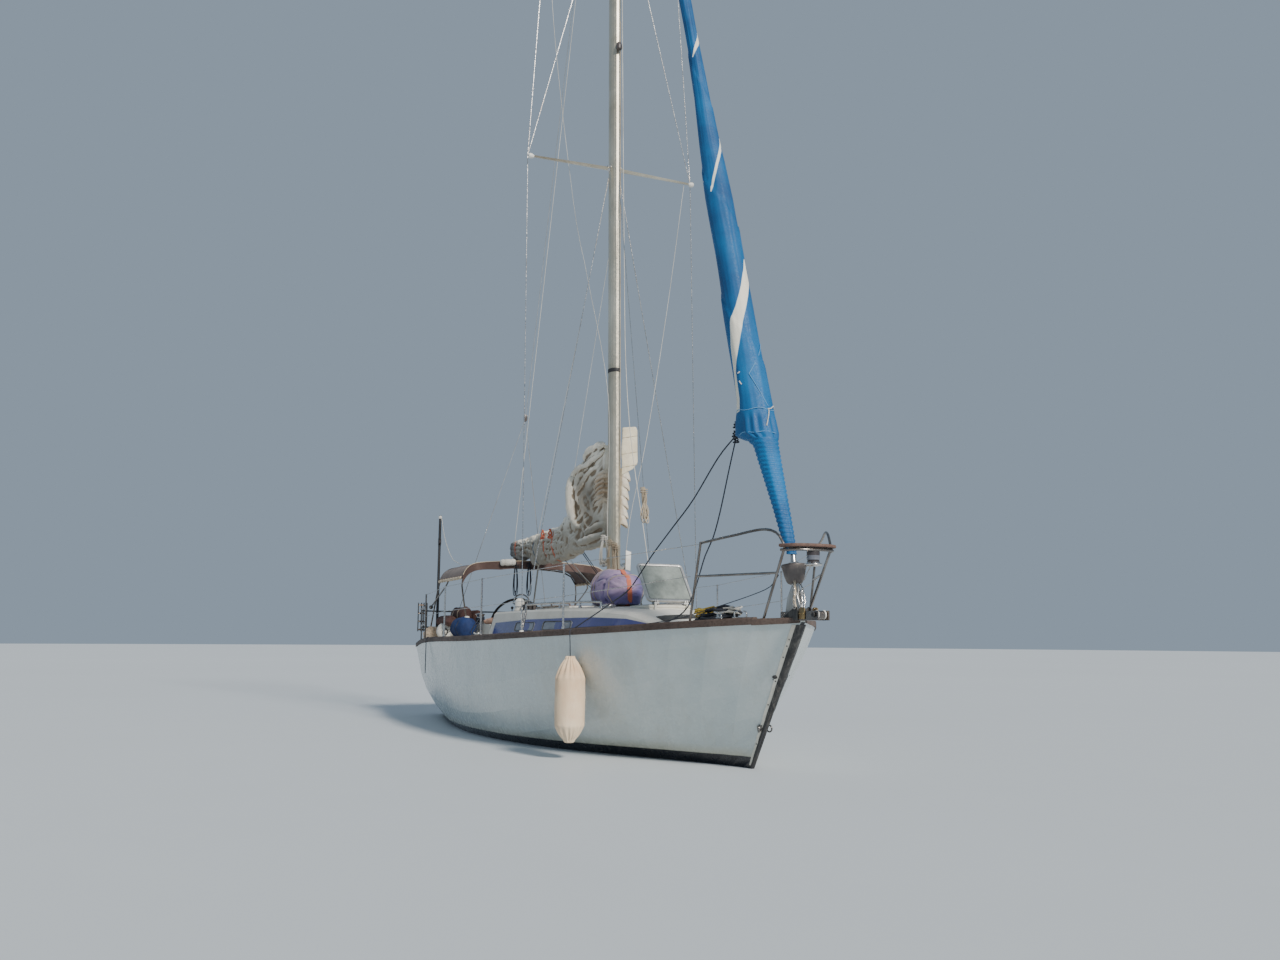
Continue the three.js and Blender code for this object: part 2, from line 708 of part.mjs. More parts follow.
function makeSpreader(row, side, name) {
  const root = vec(mastX(row.z), side * (MAST_WIDE / 2 - 20), row.z);
  const tip = spreaderTip(row, side);
  tip.y -= side * 12.4;
  const ring = (at, chord, thick) => [[chord, 0], [0, thick], [-chord, 0], [0, -thick]]
    .map(([along, up]) => [at.x + along, at.y, at.z + up]);
  const spar = loft([ring(root, 62, 17), ring(tip, 34, 10)]);
  addPart(name, spar.subtract(mastSkin()), COLOURS.alloy);
}

const WIRE = 5;

function makeShrouds(side, name) {
  const chain = vec(MAST_X - 50, side * CHAINPLATE_Y, CHAINPLATE_Z);
  const [lower, upper] = SPREADERS;
  const lowTip = spreaderTip(lower, side);
  const highTip = spreaderTip(upper, side);
  const wall = side * (MAST_WIDE / 2 + GAP + 4);
  const lowRoot = vec(mastX(lower.z) - 20, wall, lower.z - 120);
  const highRoot = vec(mastX(upper.z) - 20, wall, upper.z - 120);
  const head = vec(mastX(MAST_HEAD_Z - 40), wall + side, MAST_HEAD_Z - 120);
  const wires = [
    rod(chain, lowTip, WIRE, 6), rod(lowTip, highTip, WIRE, 6), rod(highTip, head, WIRE, 6),
    rod(chain, lowRoot, WIRE, 6), rod(lowTip, highRoot, WIRE, 6),
    ball(lowTip, 12, 8), ball(highTip, 12, 8),
    box(chain.x - 70, chain.x + 70, chain.y - 8, chain.y + 8,
      deckZ(chain.x + 70, side * (CHAINPLATE_Y - 8)) + GAP, chain.z + 40),
  ];
  for (const top of [lowTip, lowRoot]) {
    const way = top.clone().sub(chain).normalize();
    wires.push(rod(chain.clone().addScaledVector(way, 60),
      chain.clone().addScaledVector(way, 330), 11, 8));
  }
  addPart(name, fuse(wires), COLOURS.steel);
}

function backstayAt(z) {
  const top = mastX(MAST_HEAD_Z) - 180;
  return BACKSTAY_FOOT_X + (top - BACKSTAY_FOOT_X) * (z - 1100) / (MAST_HEAD_Z - 1100);
}

function makeBackstay() {
  const apex = vec(backstayAt(BRIDLE_Z), 0, BRIDLE_Z);
  const head = vec(backstayAt(MAST_HEAD_Z) - 16, 0, MAST_HEAD_Z);
  const parts = [rod(apex, head, WIRE, 6), box(apex.x - 12, apex.x + 12, -30, 30, apex.z - 40, apex.z + 40)];
  for (const side of [-1, 1]) {
    const foot = vec(BACKSTAY_FOOT_X, side * BRIDLE_HALF, deckZ(BACKSTAY_FOOT_X, BRIDLE_HALF) + 30);
    parts.push(rod(foot, apex, WIRE, 6));
    parts.push(box(foot.x - 30, foot.x + 30, foot.y - 8, foot.y + 8,
      deckZ(foot.x + 30, BRIDLE_HALF - 8) + GAP, foot.z + 20));
    const way = apex.clone().sub(foot).normalize();
    parts.push(rod(foot.clone().addScaledVector(way, 40), foot.clone().addScaledVector(way, 300), 10, 8));
  }
  addPart('backstay', fuse(parts), COLOURS.steel);
}

// The forestay sags a little under the weight of the rolled sail.
function stayAt(z) {
  const top = mastX(MAST_HEAD_Z) + STAY_HEAD_OUT;
  const share = (z - STAY_FOOT_Z) / (MAST_HEAD_Z - 40 - STAY_FOOT_Z);
  const sag = STAY_SAG * 4 * share * (1 - share);
  return vec(STAY_FOOT_X + (top - STAY_FOOT_X) * share - sag, 0, z);
}

function stayTube(radius, low, high) {
  const points = Array.from({ length: 9 }, (_, i) => stayAt(low + (high - low) * i / 8));
  return tube(points, radius, 8, 16);
}

// The furled headsail round the forestay. Columns: height, half length, half width, shift aft.
const GENOA_ROLL = [
  [1990, 46, 46, 0], [2200, 68, 68, 16], [2450, 82, 82, 30], [2760, 100, 100, 52],
  [3060, 118, 118, 74], [3120, 150, 140, 108], [3190, 222, 196, 196], [3560, 170, 168, 140],
  [4100, 161, 160, 130], [4670, 154, 154, 100], [5260, 150, 150, 83], [5900, 145, 145, 66],
  [6530, 118, 118, 46], [7200, 90, 90, 22], [7900, 72, 72, 0], [9800, 58, 58, 0],
  [12400, 44, 44, 0], [14200, 30, 30, 0],
];

function makeForestay() {
  const foot = STAY_FOOT_Z;
  const head = MAST_HEAD_Z - 65;
  addPart('forestay', stayTube(14, foot, head), COLOURS.alloy);
  const rings = GENOA_ROLL.map(([z, long, wide, aft]) => {
    const at = stayAt(z);
    return Array.from({ length: 12 }, (_, i) => {
      const angle = Math.PI * 2 * i / 12;
      return [at.x - aft + long * Math.cos(angle), wide * Math.sin(angle), z];
    });
  });
  addPart('genoa_furled', loft(rings).subtract(stayTube(14.6, foot, head)), COLOURS.blueCover);
  const drumZ = 1730;
  const drum = fuse([
    rod(stayAt(drumZ), stayAt(drumZ + 150), 70, 18, 112),
    rod(stayAt(drumZ + 140), stayAt(drumZ + 170), 112, 18),
  ]);
  addPart('furling_drum', drum.subtract(stayTube(14.5, foot, head)), COLOURS.black);
}

const BABYSTAY_FOOT_X = 1450;

function makeBabystay() {
  const top = vec(mastX(7200) + MAST_LONG / 2 - 6, 20, 7200);
  const foot = vec(BABYSTAY_FOOT_X, 45, roofAt(BABYSTAY_FOOT_X).top - 10);
  const way = top.clone().sub(foot).normalize();
  const wire = rod(foot, top, WIRE, 6);
  const screw = rod(foot.clone().addScaledVector(way, 60), foot.clone().addScaledVector(way, 300), 10, 8);
  const eye = rod(foot, foot.clone().addScaledVector(way, 70), 12, 8);
  const stay = fuse([wire, screw, eye]).subtract(roofSkin()).subtract(mastSkin());
  addPart('babystay', stay, COLOURS.steel);
}

function boomAt(along) {
  return vec(BOOM_PIVOT_X - along, 0, BOOM_Z + BOOM_RISE * along);
}

function makeBoom() {
  const beam = oval(boomAt(60), boomAt(BOOM_LENGTH), 150, 100, 12);
  const eye = rod(vec(BOOM_PIVOT_X, 0, BOOM_Z - 45), vec(BOOM_PIVOT_X, 0, BOOM_Z + 45), 20, 16);
  const neck = box(BOOM_PIVOT_X - 80, BOOM_PIVOT_X, -14, 14, BOOM_Z - 30, BOOM_Z + 30);
  const bore = rod(vec(BOOM_PIVOT_X, 0, BOOM_Z - 90), vec(BOOM_PIVOT_X, 0, BOOM_Z + 90), 8.4, 12);
  addPart('boom', beam.add(neck).add(eye).subtract(bore), COLOURS.alloy);
}

// The lowered mainsail over the boom, hanging down on its starboard side.
// Columns: distance aft of the pivot, half width, height above the boom, drop below it.
const SAIL_HEAP = [
  [100, 55, 1270, 30], [250, 165, 1300, 60], [600, 245, 1230, 90], [900, 275, 1150, 130],
  [1150, 265, 960, 180], [1290, 250, 520, 210], [1450, 230, 350, 240], [2050, 205, 290, 270], [2750, 180, 215, 290],
  [2920, 175, 205, 185], [3300, 160, 165, 215], [3750, 130, 140, 230], [4080, 85, 110, 150],
];

function makeMainsail() {
  const rings = SAIL_HEAP.map(([along, half, up, drop]) => {
    const at = boomAt(along);
    return [
      [-48, -drop], [-half * 0.8, -drop * 0.95], [-half, -drop * 0.25], [-half, up * 0.4],
      [-half * 0.82, up * 0.82], [-half * 0.3, up], [half * 0.25, up * 0.98], [half * 0.75, up * 0.75],
      [half, up * 0.3], [half * 0.85, 12], [30, 0], [-30, -30],
    ].map(([y, z]) => [at.x, y, at.z + z]);
  });
  const beam = oval(boomAt(40), boomAt(BOOM_LENGTH + 40), 150 + 2 * GAP, 100 + 2 * GAP, 12);
  addPart('mainsail_heap', loft(rings).subtract(beam), COLOURS.sail);
  // Columns of the head panel: height, fore and aft x, inner and outer y.
  const head = loft([
    [2640, 400, 300, 60, 140], [2850, 430, 290, 60, 210], [3300, 450, 300, 60, 300],
    [3860, 440, 310, 60, 290], [3930, 400, 330, 60, 200],
  ].map(([z, fore, aft, inner, outer]) => [
    [aft, inner, z], [fore, inner, z], [fore - 15, outer, z], [aft + 15, outer, z],
  ]));
  addPart('mainsail_head', head.subtract(mastSkin()), COLOURS.sail);
}

// Rails and lifelines

// A point over the rail line, at a height above the toe rail.
function railPoint(x, height, side) {
  return vec(x, side * (halfBeam(x) - RAIL_INBOARD), sheerZ(x) + 62 + height);
}

// A post from the deck up to a point, with a round base.
function post(x, y, top, radius) {
  const foot = vec(x, y, deckZ(x, y) - 12);
  return rod(foot, top, radius, 8).add(rod(foot, vec(x, y, foot.z + 34), 20, 8));
}

function makePulpit() {
  const parts = [];
  for (const side of [-1, 1]) {
    const foot = vec(3860, side * (halfBeam(3860) - RAIL_INBOARD - 12), 0);
    const top = vec(4060, side * 635, 2110);
    const knee = vec(4735, side * 315, 2196);
    const drop = vec(4930, side * 240, 2030);
    parts.push(post(foot.x, foot.y, top, RAIL_RADIUS));
    parts.push(ball(top, RAIL_RADIUS + 2, 8));
    parts.push(tube([top, vec(4400, side * 482, 2158), knee, vec(4850, side * 265, 2150), drop],
      RAIL_RADIUS, 6, 18));
    const legFoot = vec(4500, side * (halfBeam(4500) - RAIL_INBOARD - 6), 0);
    parts.push(post(legFoot.x, legFoot.y, drop, RAIL_RADIUS));
    legFoot.z = deckZ(legFoot.x, legFoot.y) - 12;
    const aft = foot.clone().setZ(deckZ(foot.x, foot.y) - 12).lerp(top, 0.6);
    const fore = legFoot.clone().lerp(drop, 0.66);
    parts.push(rod(aft, fore, RAIL_RADIUS * 0.9, 8));
    parts.push(ball(drop, RAIL_RADIUS + 3, 8));
  }
  const ring = [[4930, -240], [5010, -205], [5052, -110], [5060, 0], [5052, 110], [5010, 205],
    [4930, 240]].map(([x, y]) => vec(x, y, 2030));
  parts.push(tube(ring, RAIL_RADIUS, 6, 14));
  parts.push(box(4925, 4950, -235, 235, 2020, 2040));
  addPart('pulpit', fuse(parts).subtract(deckSkin()), COLOURS.steel);
}

const PUSHPIT_FWD_X = -3820;

// The bent rail round the stern at a height above the toe rail.
function sternRail(height, radius) {
  const y1 = halfBeam(PUSHPIT_FWD_X) - RAIL_INBOARD;
  const y2 = halfBeam(-4640) - RAIL_INBOARD;
  const at = (x, y) => vec(x, y, sheerZ(x) + 62 + height);
  return tube([at(PUSHPIT_FWD_X, -y1), at(-4300, -(y1 + y2) / 2 - 15), at(-4640, -y2),
    at(-4730, -y2 + 140), at(-4740, 0), at(-4730, y2 - 140), at(-4640, y2),
    at(-4300, (y1 + y2) / 2 + 15), at(PUSHPIT_FWD_X, y1)], radius, 6, 20);
}

function makePushpit() {
  const parts = [sternRail(PUSHPIT_HEIGHT, RAIL_RADIUS), sternRail(240, RAIL_RADIUS)];
  const y1 = halfBeam(PUSHPIT_FWD_X) - RAIL_INBOARD;
  const y2 = halfBeam(-4640) - RAIL_INBOARD;
  for (const [x, y, height] of [[PUSHPIT_FWD_X, y1, STANCHION_HEIGHT], [-4640, y2, PUSHPIT_HEIGHT],
    [-4739, 420, PUSHPIT_HEIGHT]]) {
    for (const side of [-1, 1]) {
      parts.push(post(x, side * y, vec(x, side * y, sheerZ(x) + 62 + height), RAIL_RADIUS));
    }
  }
  addPart('pushpit', fuse(parts).subtract(deckSkin()), COLOURS.steel);
}

const STANCHIONS = [2200, 30, -1900];

function makeLifelines(side, name) {
  const parts = [];
  for (const x of STANCHIONS) {
    const top = railPoint(x, STANCHION_HEIGHT, side);
    parts.push(post(x, top.y, top, 12));
  }
  for (const [height, bow] of [[STANCHION_HEIGHT - 12, vec(4042, side * 648, 2098)],
    [345, vec(3958, side * 694, 1800)]]) {
    const ends = [
      bow,
      ...STANCHIONS.map((x) => railPoint(x, height, side)),
      railPoint(PUSHPIT_FWD_X + 13.5, height, side),
    ];
    for (let i = 0; i < ends.length - 1; i++) {
      parts.push(rod(ends[i], ends[i + 1], 3.5, 6));
    }
  }
  addPart(name, fuse(parts).subtract(deckSkin()), COLOURS.steel);
}

// Bimini over the cockpit

const BIMINI = { fore: -2750, aft: -4190, half: 1170, edge: 2080, crown: 2362, thick: 20 };
const BIMINI_SHARES = [-1, -0.985, -0.94, -0.84, -0.6, -0.3, 0, 0.3, 0.6, 0.84, 0.94, 0.985, 1];

// The height of the canopy's top at a share of its half width: flat with quick corners.
function biminiZ(share) {
  const { edge, crown } = BIMINI;
  const side = Math.abs(share);
  return crown - 70 * side ** 2 - (crown - 70 - edge) * side ** 16;
}

// A tube under the canopy at one x, with legs down to feet at [x, y, z] on each side.
function biminiArch(x, foot, radius) {
  const { half, thick } = BIMINI;
  const points = BIMINI_SHARES.map((share) => vec(x, share * (half - 20), biminiZ(share) - thick - 4));
  const [footX, footY, footZ] = foot;
  return tube([vec(footX, -footY, footZ), ...points, vec(footX, footY, footZ)], radius, 6, 30);
}

function makeBimini() {
  const { fore, aft, half, thick } = BIMINI;
  const aftFoot = [-4580, 1215, deckZ(-4580, 1215) - 12];
  const midFoot = [-4490, 1198, 1690];
  const foreFoot = [-3150, 955, COAMING_TOP_Z + GAP];
  const railY = 0.6 * (half - 20);
  const railZ = biminiZ(0.6) - thick - 4;
  const arches = (radius) => fuse([
    biminiArch(fore - 20, foreFoot, radius),
    biminiArch(-3600, midFoot, radius),
    biminiArch(aft + 20, aftFoot, radius),
    rod(vec(fore - 20, -railY, railZ), vec(aft + 20, -railY, railZ), radius, 6),
    rod(vec(fore - 20, railY, railZ), vec(aft + 20, railY, railZ), radius, 6),
  ]);
  const frame = [arches(12.5)];
  for (const side of [-1, 1]) {
    frame.push(ball(vec(midFoot[0], side * midFoot[1], midFoot[2]), 34, 10));
    frame.push(rod(vec(foreFoot[0], side * foreFoot[1], foreFoot[2]),
      vec(foreFoot[0], side * foreFoot[1], foreFoot[2] + 24), 26, 12));
  }
  const floor = deckSkin().add(box(-3300, -3000, -1200, 1200, 1300, COAMING_TOP_Z + GAP));
  addPart('bimini_frame', fuse(frame).subtract(floor), COLOURS.black);
  const rings = [fore, (fore + aft) / 2, aft].map((x) => {
    const under = BIMINI_SHARES.map((share) => [x, share * (half - thick * 0.8), biminiZ(share) - thick]);
    const over = BIMINI_SHARES.map((share) => [x, share * half, biminiZ(share)]);
    under[0][2] = over[0][2];
    under[under.length - 1][2] = over[over.length - 1][2];
    return [...under, ...over.reverse()];
  });
  addPart('bimini_canopy', loft(rings).subtract(arches(12.5 + 1.5 * GAP)), COLOURS.brownCanvas);
}

function makeSteering() {
  const post = [
    turned([[0, WELL_FLOOR_Z + GAP], [140, WELL_FLOOR_Z + GAP], [110, 1100], [95, 1560], [0, 1560]],
      16, -3500),
    rod(vec(-3500, 0, WHEEL_Z), vec(WHEEL_X + 40.5, 0, WHEEL_Z), 40, 12),
    turned([[0, 1550], [85, 1550], [85, 1640], [60, 1700], [0, 1725]], 16, -3500),
  ];
  addPart('pedestal', fuse(post), COLOURS.white);
  const rim = new THREE.TorusGeometry(WHEEL_RADIUS - 14, 14, 6, 30);
  rim.rotateY(Math.PI / 2);
  rim.translate(WHEEL_X, 0, WHEEL_Z);
  const parts = [toSolid(rim), rod(vec(WHEEL_X - 30, 0, WHEEL_Z), vec(WHEEL_X + 40, 0, WHEEL_Z), 42, 16)];
  for (let i = 0; i < 5; i++) {
    const angle = i * 2 * Math.PI / 5 + Math.PI / 2;
    const out = vec(0, Math.cos(angle), Math.sin(angle)).multiplyScalar(WHEEL_RADIUS - 14);
    parts.push(rod(vec(WHEEL_X, 0, WHEEL_Z), vec(WHEEL_X, 0, WHEEL_Z).add(out), 7, 8));
  }
  addPart('steering_wheel', fuse(parts), COLOURS.steel);
}

function makeBowRoller() {
  const parts = [];
  for (const y of [-62, 50]) {
    parts.push(box(4540, 5165, y, y + 12, 1385, 1468));
  }
  parts.push(box(4540, 5080, -62, 62, 1385, 1414));
  parts.push(rod(vec(5112, -55, 1432), vec(5112, 55, 1432), 38, 14));
  parts.push(box(4765, 4885, -26, 26, 1400, STAY_FOOT_Z - 5));
  addPart('bow_roller', fuse(parts).subtract(deckSkin()), COLOURS.steel);
}

function makeWinch(side, name) {
  const z = COAMING_TOP_Z + GAP;
  addPart(name, turned([[0, z], [72, z], [72, z + 30], [52, z + 46], [48, z + 110], [64, z + 140],
    [60, z + 152], [0, z + 152]], 18, -2450, side * (COAMING_HALF - 62)), COLOURS.steel);
}

function makeHandrail(side, name) {
  const y = (x) => side * (roofSideY(x, 1560) - 170);
  const z = (x) => roofAt(x).top - 12;
  const posts = [-900, -350, 200, 750, 1250];
  const parts = [tube(posts.map((x) => vec(x, y(x), z(x) + 52)), 14, 8, 16)];
  for (const x of posts) {
    parts.push(rod(vec(x, y(x), z(x) - 28), vec(x, y(x), z(x) + 50), 13, 8));
  }
  addPart(name, fuse(parts).subtract(roofSkin()), COLOURS.teak);
}

// The hull side's y at a place below the sheer.
function hullSideY(x, z) {
  let low = 0;
  let high = 1;
  for (let i = 0; i < 24; i++) {
    const middle = (low + high) / 2;
    stationX(middle, z) > x ? low = middle : high = middle;
  }
  const { half, sheer, bottom, fullness, flare } = hullAt(low);
  const down = (sheer - z) / (sheer - bottom);
  const cos = down ** (fullness / 2);
  return half * Math.sqrt(1 - cos * cos) ** (2 / fullness) * (1 - flare * down);
}

function makeFenders() {
  const x = 2520;
  const profile = [[0, 120], [30, 126], [62, 195], [132, 262], [155, 400], [155, 780], [132, 925],
    [58, 1000], [24, 1035], [0, 1040]];
  let out = 0;
  for (const [r, z] of profile) {
    for (const share of [-1, -0.75, -0.5, -0.25, 0]) {
      out = Math.max(out, hullSideY(x + share * r, z) + r * Math.sqrt(1 - share * share));
    }
  }
  const y = -out - 0.5;
  const rail = -halfBeam(x) - 10;
  const line = rod(vec(x, y, 1010), vec(x, rail, sheerZ(x) + 40), 5, 6);
  const fender = turned(profile, 16, x, y).add(line).subtract(toeRail(-1, GAP));
  addPart('fender_hanging', fender, COLOURS.cream);
  const railY = halfBeam(-4250) - RAIL_INBOARD;
  const aftY = -(railY - 130);
  const z = deckZ(-4250, aftY) - 4;
  const white = turned([[0, z], [60, z + 1], [112, z + 60], [112, z + 330], [60, z + 400],
    [0, z + 410]], 14, -4250, aftY);
  addPart('fender_white', white.subtract(deckSkin()), COLOURS.white);
}

function makeSternPole() {
  const foot = deckZ(-4500, -1090) - 12;
  const pole = rod(vec(-4500, -1090, foot), vec(-4500, -1090, 3170), 22, 12);
  addPart('stern_pole', pole.subtract(deckSkin()), COLOURS.black);
}

// A soft bundle along x. Columns of its rings: x, half width, height; low is its underside.
function bundle(rows, y, low) {
  return loft(rows.map(([x, half, height]) => [
    [-half * 0.7, 0], [-half, height * 0.3], [-half * 0.85, height * 0.7], [-half * 0.4, height],
    [half * 0.4, height], [half * 0.85, height * 0.7], [half, height * 0.3], [half * 0.7, 0],
  ].map(([out, up]) => [x, y + out, low + up])));
}

function makeBundles() {
  const bag = bundle([[512, 110, 190], [600, 220, 380], [780, 262, 450], [960, 250, 430],
    [1130, 200, 350], [1270, 90, 170]], -190, 1560);
  addPart('sail_bag', bag.subtract(roofSkin()), COLOURS.purpleCloth);
  const blue = bundle([[-2620, 90, 200], [-2560, 135, 310], [-2140, 140, 320], [-2070, 90, 200]],
    -1218, 1172);
  addPart('blue_bag', blue.subtract(deckSkin()), COLOURS.blueCloth);
  const brown = bundle([[-3980, 40, 90], [-3900, 70, 190], [-3480, 95, 280], [-3320, 90, 270],
    [-3240, 60, 150]], -930, COAMING_TOP_Z + GAP);
  addPart('brown_bundle', brown, COLOURS.brownCanvas);
  const heap = bundle([[3060, 90, 130], [3180, 210, 240], [3420, 260, 260], [3650, 230, 210],
    [3820, 110, 130]], -120, 1328);
  addPart('line_heap', heap.subtract(deckSkin()).subtract(roofSkin()), COLOURS.rope);
}

makeHull();
makeDeck();
makeToeRail(-1, 'toe_rail_stbd');
makeToeRail(1, 'toe_rail_port');
makeStemPlate();
makeKeel();
makeRudder();
makeDriveLeg();
makePropeller();
makeInside();
makeWindowBand(-1, 'window_band_stbd');
makeWindowBand(1, 'window_band_port');
makeForeHatchLid();
makeCompanionway();
makeMast();
for (const row of SPREADERS) {
  makeSpreader(row, -1, `spreader_${row.name}_stbd`);
  makeSpreader(row, 1, `spreader_${row.name}_port`);
}
makeShrouds(-1, 'shrouds_stbd');
makeShrouds(1, 'shrouds_port');
makeBackstay();
makeForestay();
makeBabystay();
makeBoom();
makeMainsail();
makePulpit();
makePushpit();
makeLifelines(-1, 'lifelines_stbd');
makeLifelines(1, 'lifelines_port');
makeBimini();
makeSteering();
makeBowRoller();
makeWinch(-1, 'winch_stbd');
makeWinch(1, 'winch_port');
makeHandrail(-1, 'handrail_stbd');
makeHandrail(1, 'handrail_port');
makeFenders();
makeSternPole();
makeBundles();

export default yacht;
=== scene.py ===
import math

import bpy
import numpy
from mathutils import Matrix, Vector, noise


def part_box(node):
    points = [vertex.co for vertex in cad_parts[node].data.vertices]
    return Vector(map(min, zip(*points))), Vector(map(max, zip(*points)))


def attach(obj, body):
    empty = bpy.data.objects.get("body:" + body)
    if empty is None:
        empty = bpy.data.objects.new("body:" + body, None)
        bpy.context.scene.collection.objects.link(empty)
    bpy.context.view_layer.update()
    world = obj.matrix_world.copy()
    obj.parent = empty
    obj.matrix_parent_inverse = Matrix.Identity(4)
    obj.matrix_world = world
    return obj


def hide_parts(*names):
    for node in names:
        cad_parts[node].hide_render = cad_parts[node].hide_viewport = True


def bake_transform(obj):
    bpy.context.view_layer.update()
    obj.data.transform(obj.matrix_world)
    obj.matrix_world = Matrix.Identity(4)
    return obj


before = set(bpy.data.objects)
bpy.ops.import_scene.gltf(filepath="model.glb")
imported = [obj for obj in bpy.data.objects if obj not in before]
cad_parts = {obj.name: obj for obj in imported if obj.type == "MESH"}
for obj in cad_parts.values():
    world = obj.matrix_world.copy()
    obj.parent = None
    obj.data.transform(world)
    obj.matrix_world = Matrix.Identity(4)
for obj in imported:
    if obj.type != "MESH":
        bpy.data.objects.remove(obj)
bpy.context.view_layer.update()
bpy.ops.object.select_all(action="DESELECT")

# THE VIEW
# From a dinghy off the starboard bow, at the height of the deck, looking aft and a little up.
bpy.ops.object.camera_add()
view = bpy.context.object
view.name = "dinghy_view"
view.data.sensor_width = 36
view.data.lens = 31.80175
view.data.clip_end = 400
right, up = (0.39741, 0.91762, 0.00648), (0.12432, -0.06084, 0.99037)
ahead = Vector((-0.90918, 0.39278, 0.13826))
view.matrix_world = Matrix((right, up, -ahead)).transposed().to_4x4()
view.location = (13.56514, -5.3661, 1.2246)
bpy.context.scene.camera = view

# RUNNING RIGGING
# Laid and braided polyester lines, 6 to 14 mm thick: sheets, halyards, the boom's lift and tackles.
# Each is led from its fitting to its cleat; the ones that run to the boom are left off the hull's body.

def group(name, inputs, outputs):
    """A shader node group with named sockets: its tree, its inputs and its output node."""
    tree = bpy.data.node_groups.new(name, "ShaderNodeTree")
    for label, kind, value in inputs:
        socket = tree.interface.new_socket(label, in_out="INPUT", socket_type="NodeSocket" + kind)
        if kind == "Float":
            socket.default_value = value
    for label, kind in outputs:
        tree.interface.new_socket(label, in_out="OUTPUT", socket_type="NodeSocket" + kind)
    return tree, tree.nodes.new("NodeGroupInput").outputs, tree.nodes.new("NodeGroupOutput")


def feed(tree, socket, value):
    """Sets an input to a number, or links another node's output to it."""
    if isinstance(value, bpy.types.NodeSocket):
        tree.links.new(value, socket)
    else:
        socket.default_value = value


def add(tree, kind, *places, how=None, **names):
    """One node. Its inputs come by place or by name, as a number or as another node's output."""
    node = tree.nodes.new("ShaderNode" + kind)
    for setting, value in (how or {}).items():
        setattr(node, setting, value)
    for socket, value in zip(node.inputs, places):
        feed(tree, socket, value)
    for name, value in names.items():
        feed(tree, node.inputs[name.replace("_", " ")], value)
    return node


def place_group(tree, shared, **names):
    """A shared group placed in one material with its own values."""
    node = tree.nodes.new("ShaderNodeGroup")
    node.node_tree = shared
    for name, value in names.items():
        feed(tree, node.inputs[name], value)
    return node.outputs


# Weather: broad clouds of fading and a fine grain, both from 0 to 1.
weather, ins, out = group("weather",
                          [("Place", "Vector", 0), ("Cloud", "Float", 2.0), ("Grain", "Float", 90.0)],
                          [("Fade", "Float"), ("Speck", "Float")])
broad = add(weather, "TexNoise", ins["Place"], Scale=ins["Cloud"], Detail=5.0, Roughness=0.62)
fine = add(weather, "TexNoise", ins["Place"], Scale=ins["Grain"], Detail=3.0)
for made, label in ((broad, "Fade"), (fine, "Speck")):
    level = add(weather, "MapRange", made.outputs[0], 0.32, 0.68)
    weather.links.new(level.outputs[0], out.inputs[label])

# Threads: two crossing sets of fine ridges, as on woven cloth and braided cover.
threads, ins, out = group("threads", [("Place", "Vector", 0), ("Count", "Float", 300.0)], [("Height", "Float")])
warp = add(threads, "TexWave", ins["Place"], Scale=ins["Count"], how={"bands_direction": "DIAGONAL"})
turned = add(threads, "Mapping", ins["Place"], Rotation=(0.5, 1.3, 1.57))
weft = add(threads, "TexWave", turned.outputs[0], Scale=ins["Count"], how={"bands_direction": "DIAGONAL"})
woven = add(threads, "Math", warp.outputs[1], weft.outputs[1], how={"operation": "MAXIMUM"})
threads.links.new(woven.outputs[0], out.inputs["Height"])

# Grime: runs of dirt that hang downwards, as a mask.
grime_and_shade, ins, out = group("grime_and_shade", [("Place", "Vector", 0), ("Runs", "Float", 6.0), ("Amount", "Float", 0.5)],
                        [("Mask", "Float")])
drawn = add(grime_and_shade, "Mapping", ins["Place"], Scale=(1.0, 1.0, 0.12))
runs = add(grime_and_shade, "TexNoise", drawn.outputs[0], Scale=ins["Runs"], Detail=6.0, Roughness=0.7)
level = add(grime_and_shade, "MapRange", runs.outputs[0], 0.5, 0.75, 0.0, 1.0)
amount = add(grime_and_shade, "Math", level.outputs[0], ins["Amount"], how={"operation": "MULTIPLY"})
grime_and_shade.links.new(amount.outputs[0], out.inputs["Mask"])


def finish(name, deep, pale, rough=(0.35, 0.6), metal=0.0, cloud=2.0, grain=90.0, bump=0.1, coat=0.0,
           dirt=None, runs=6.0, weave=0.0, sheen=0.0):
    """A weathered surface that shades from deep to pale, with grain or weave, and runs of dirt."""
    made = bpy.data.materials.new(name)
    made.use_nodes = True
    tree = made.node_tree
    shader = tree.nodes["Principled BSDF"]
    place = add(tree, "TexCoord").outputs["Object"]
    aged = place_group(tree, weather, Place=place, Cloud=cloud, Grain=grain)
    colour = add(tree, "MixRGB", aged["Fade"], (*deep, 1), (*pale, 1)).outputs[0]
    if dirt:
        mask = place_group(tree, grime_and_shade, Place=place, Runs=runs, Amount=dirt[3])["Mask"]
        colour = add(tree, "MixRGB", mask, colour, (*dirt[:3], 1)).outputs[0]
    tree.links.new(colour, shader.inputs["Base Color"])
    gloss = add(tree, "MapRange", aged["Speck"], 0.0, 1.0, *rough)
    tree.links.new(gloss.outputs[0], shader.inputs["Roughness"])
    height = place_group(tree, threads, Place=place, Count=weave)["Height"] if weave else aged["Speck"]
    relief = add(tree, "Bump", Strength=bump, Distance=0.0015, Height=height)
    tree.links.new(relief.outputs[0], shader.inputs["Normal"])
    for label, value in (("Metallic", metal), ("Coat Weight", coat), ("Coat Roughness", 0.12),
                         ("Sheen Weight", sheen)):
        shader.inputs[label].default_value = value
    return made


def mark(made, colour, mask):
    """Lays one more colour over a finish, where the mask is 1."""
    tree = made.node_tree
    socket = tree.nodes["Principled BSDF"].inputs["Base Color"]
    over = add(tree, "MixRGB", mask, socket.links[0].from_socket, (*colour, 1))
    tree.links.new(over.outputs[0], socket)


def only(piece):
    """Selects one piece alone and makes it the active one."""
    bpy.ops.object.select_all(action="DESELECT")
    piece.select_set(True)
    bpy.context.view_layer.objects.active = piece
    return piece


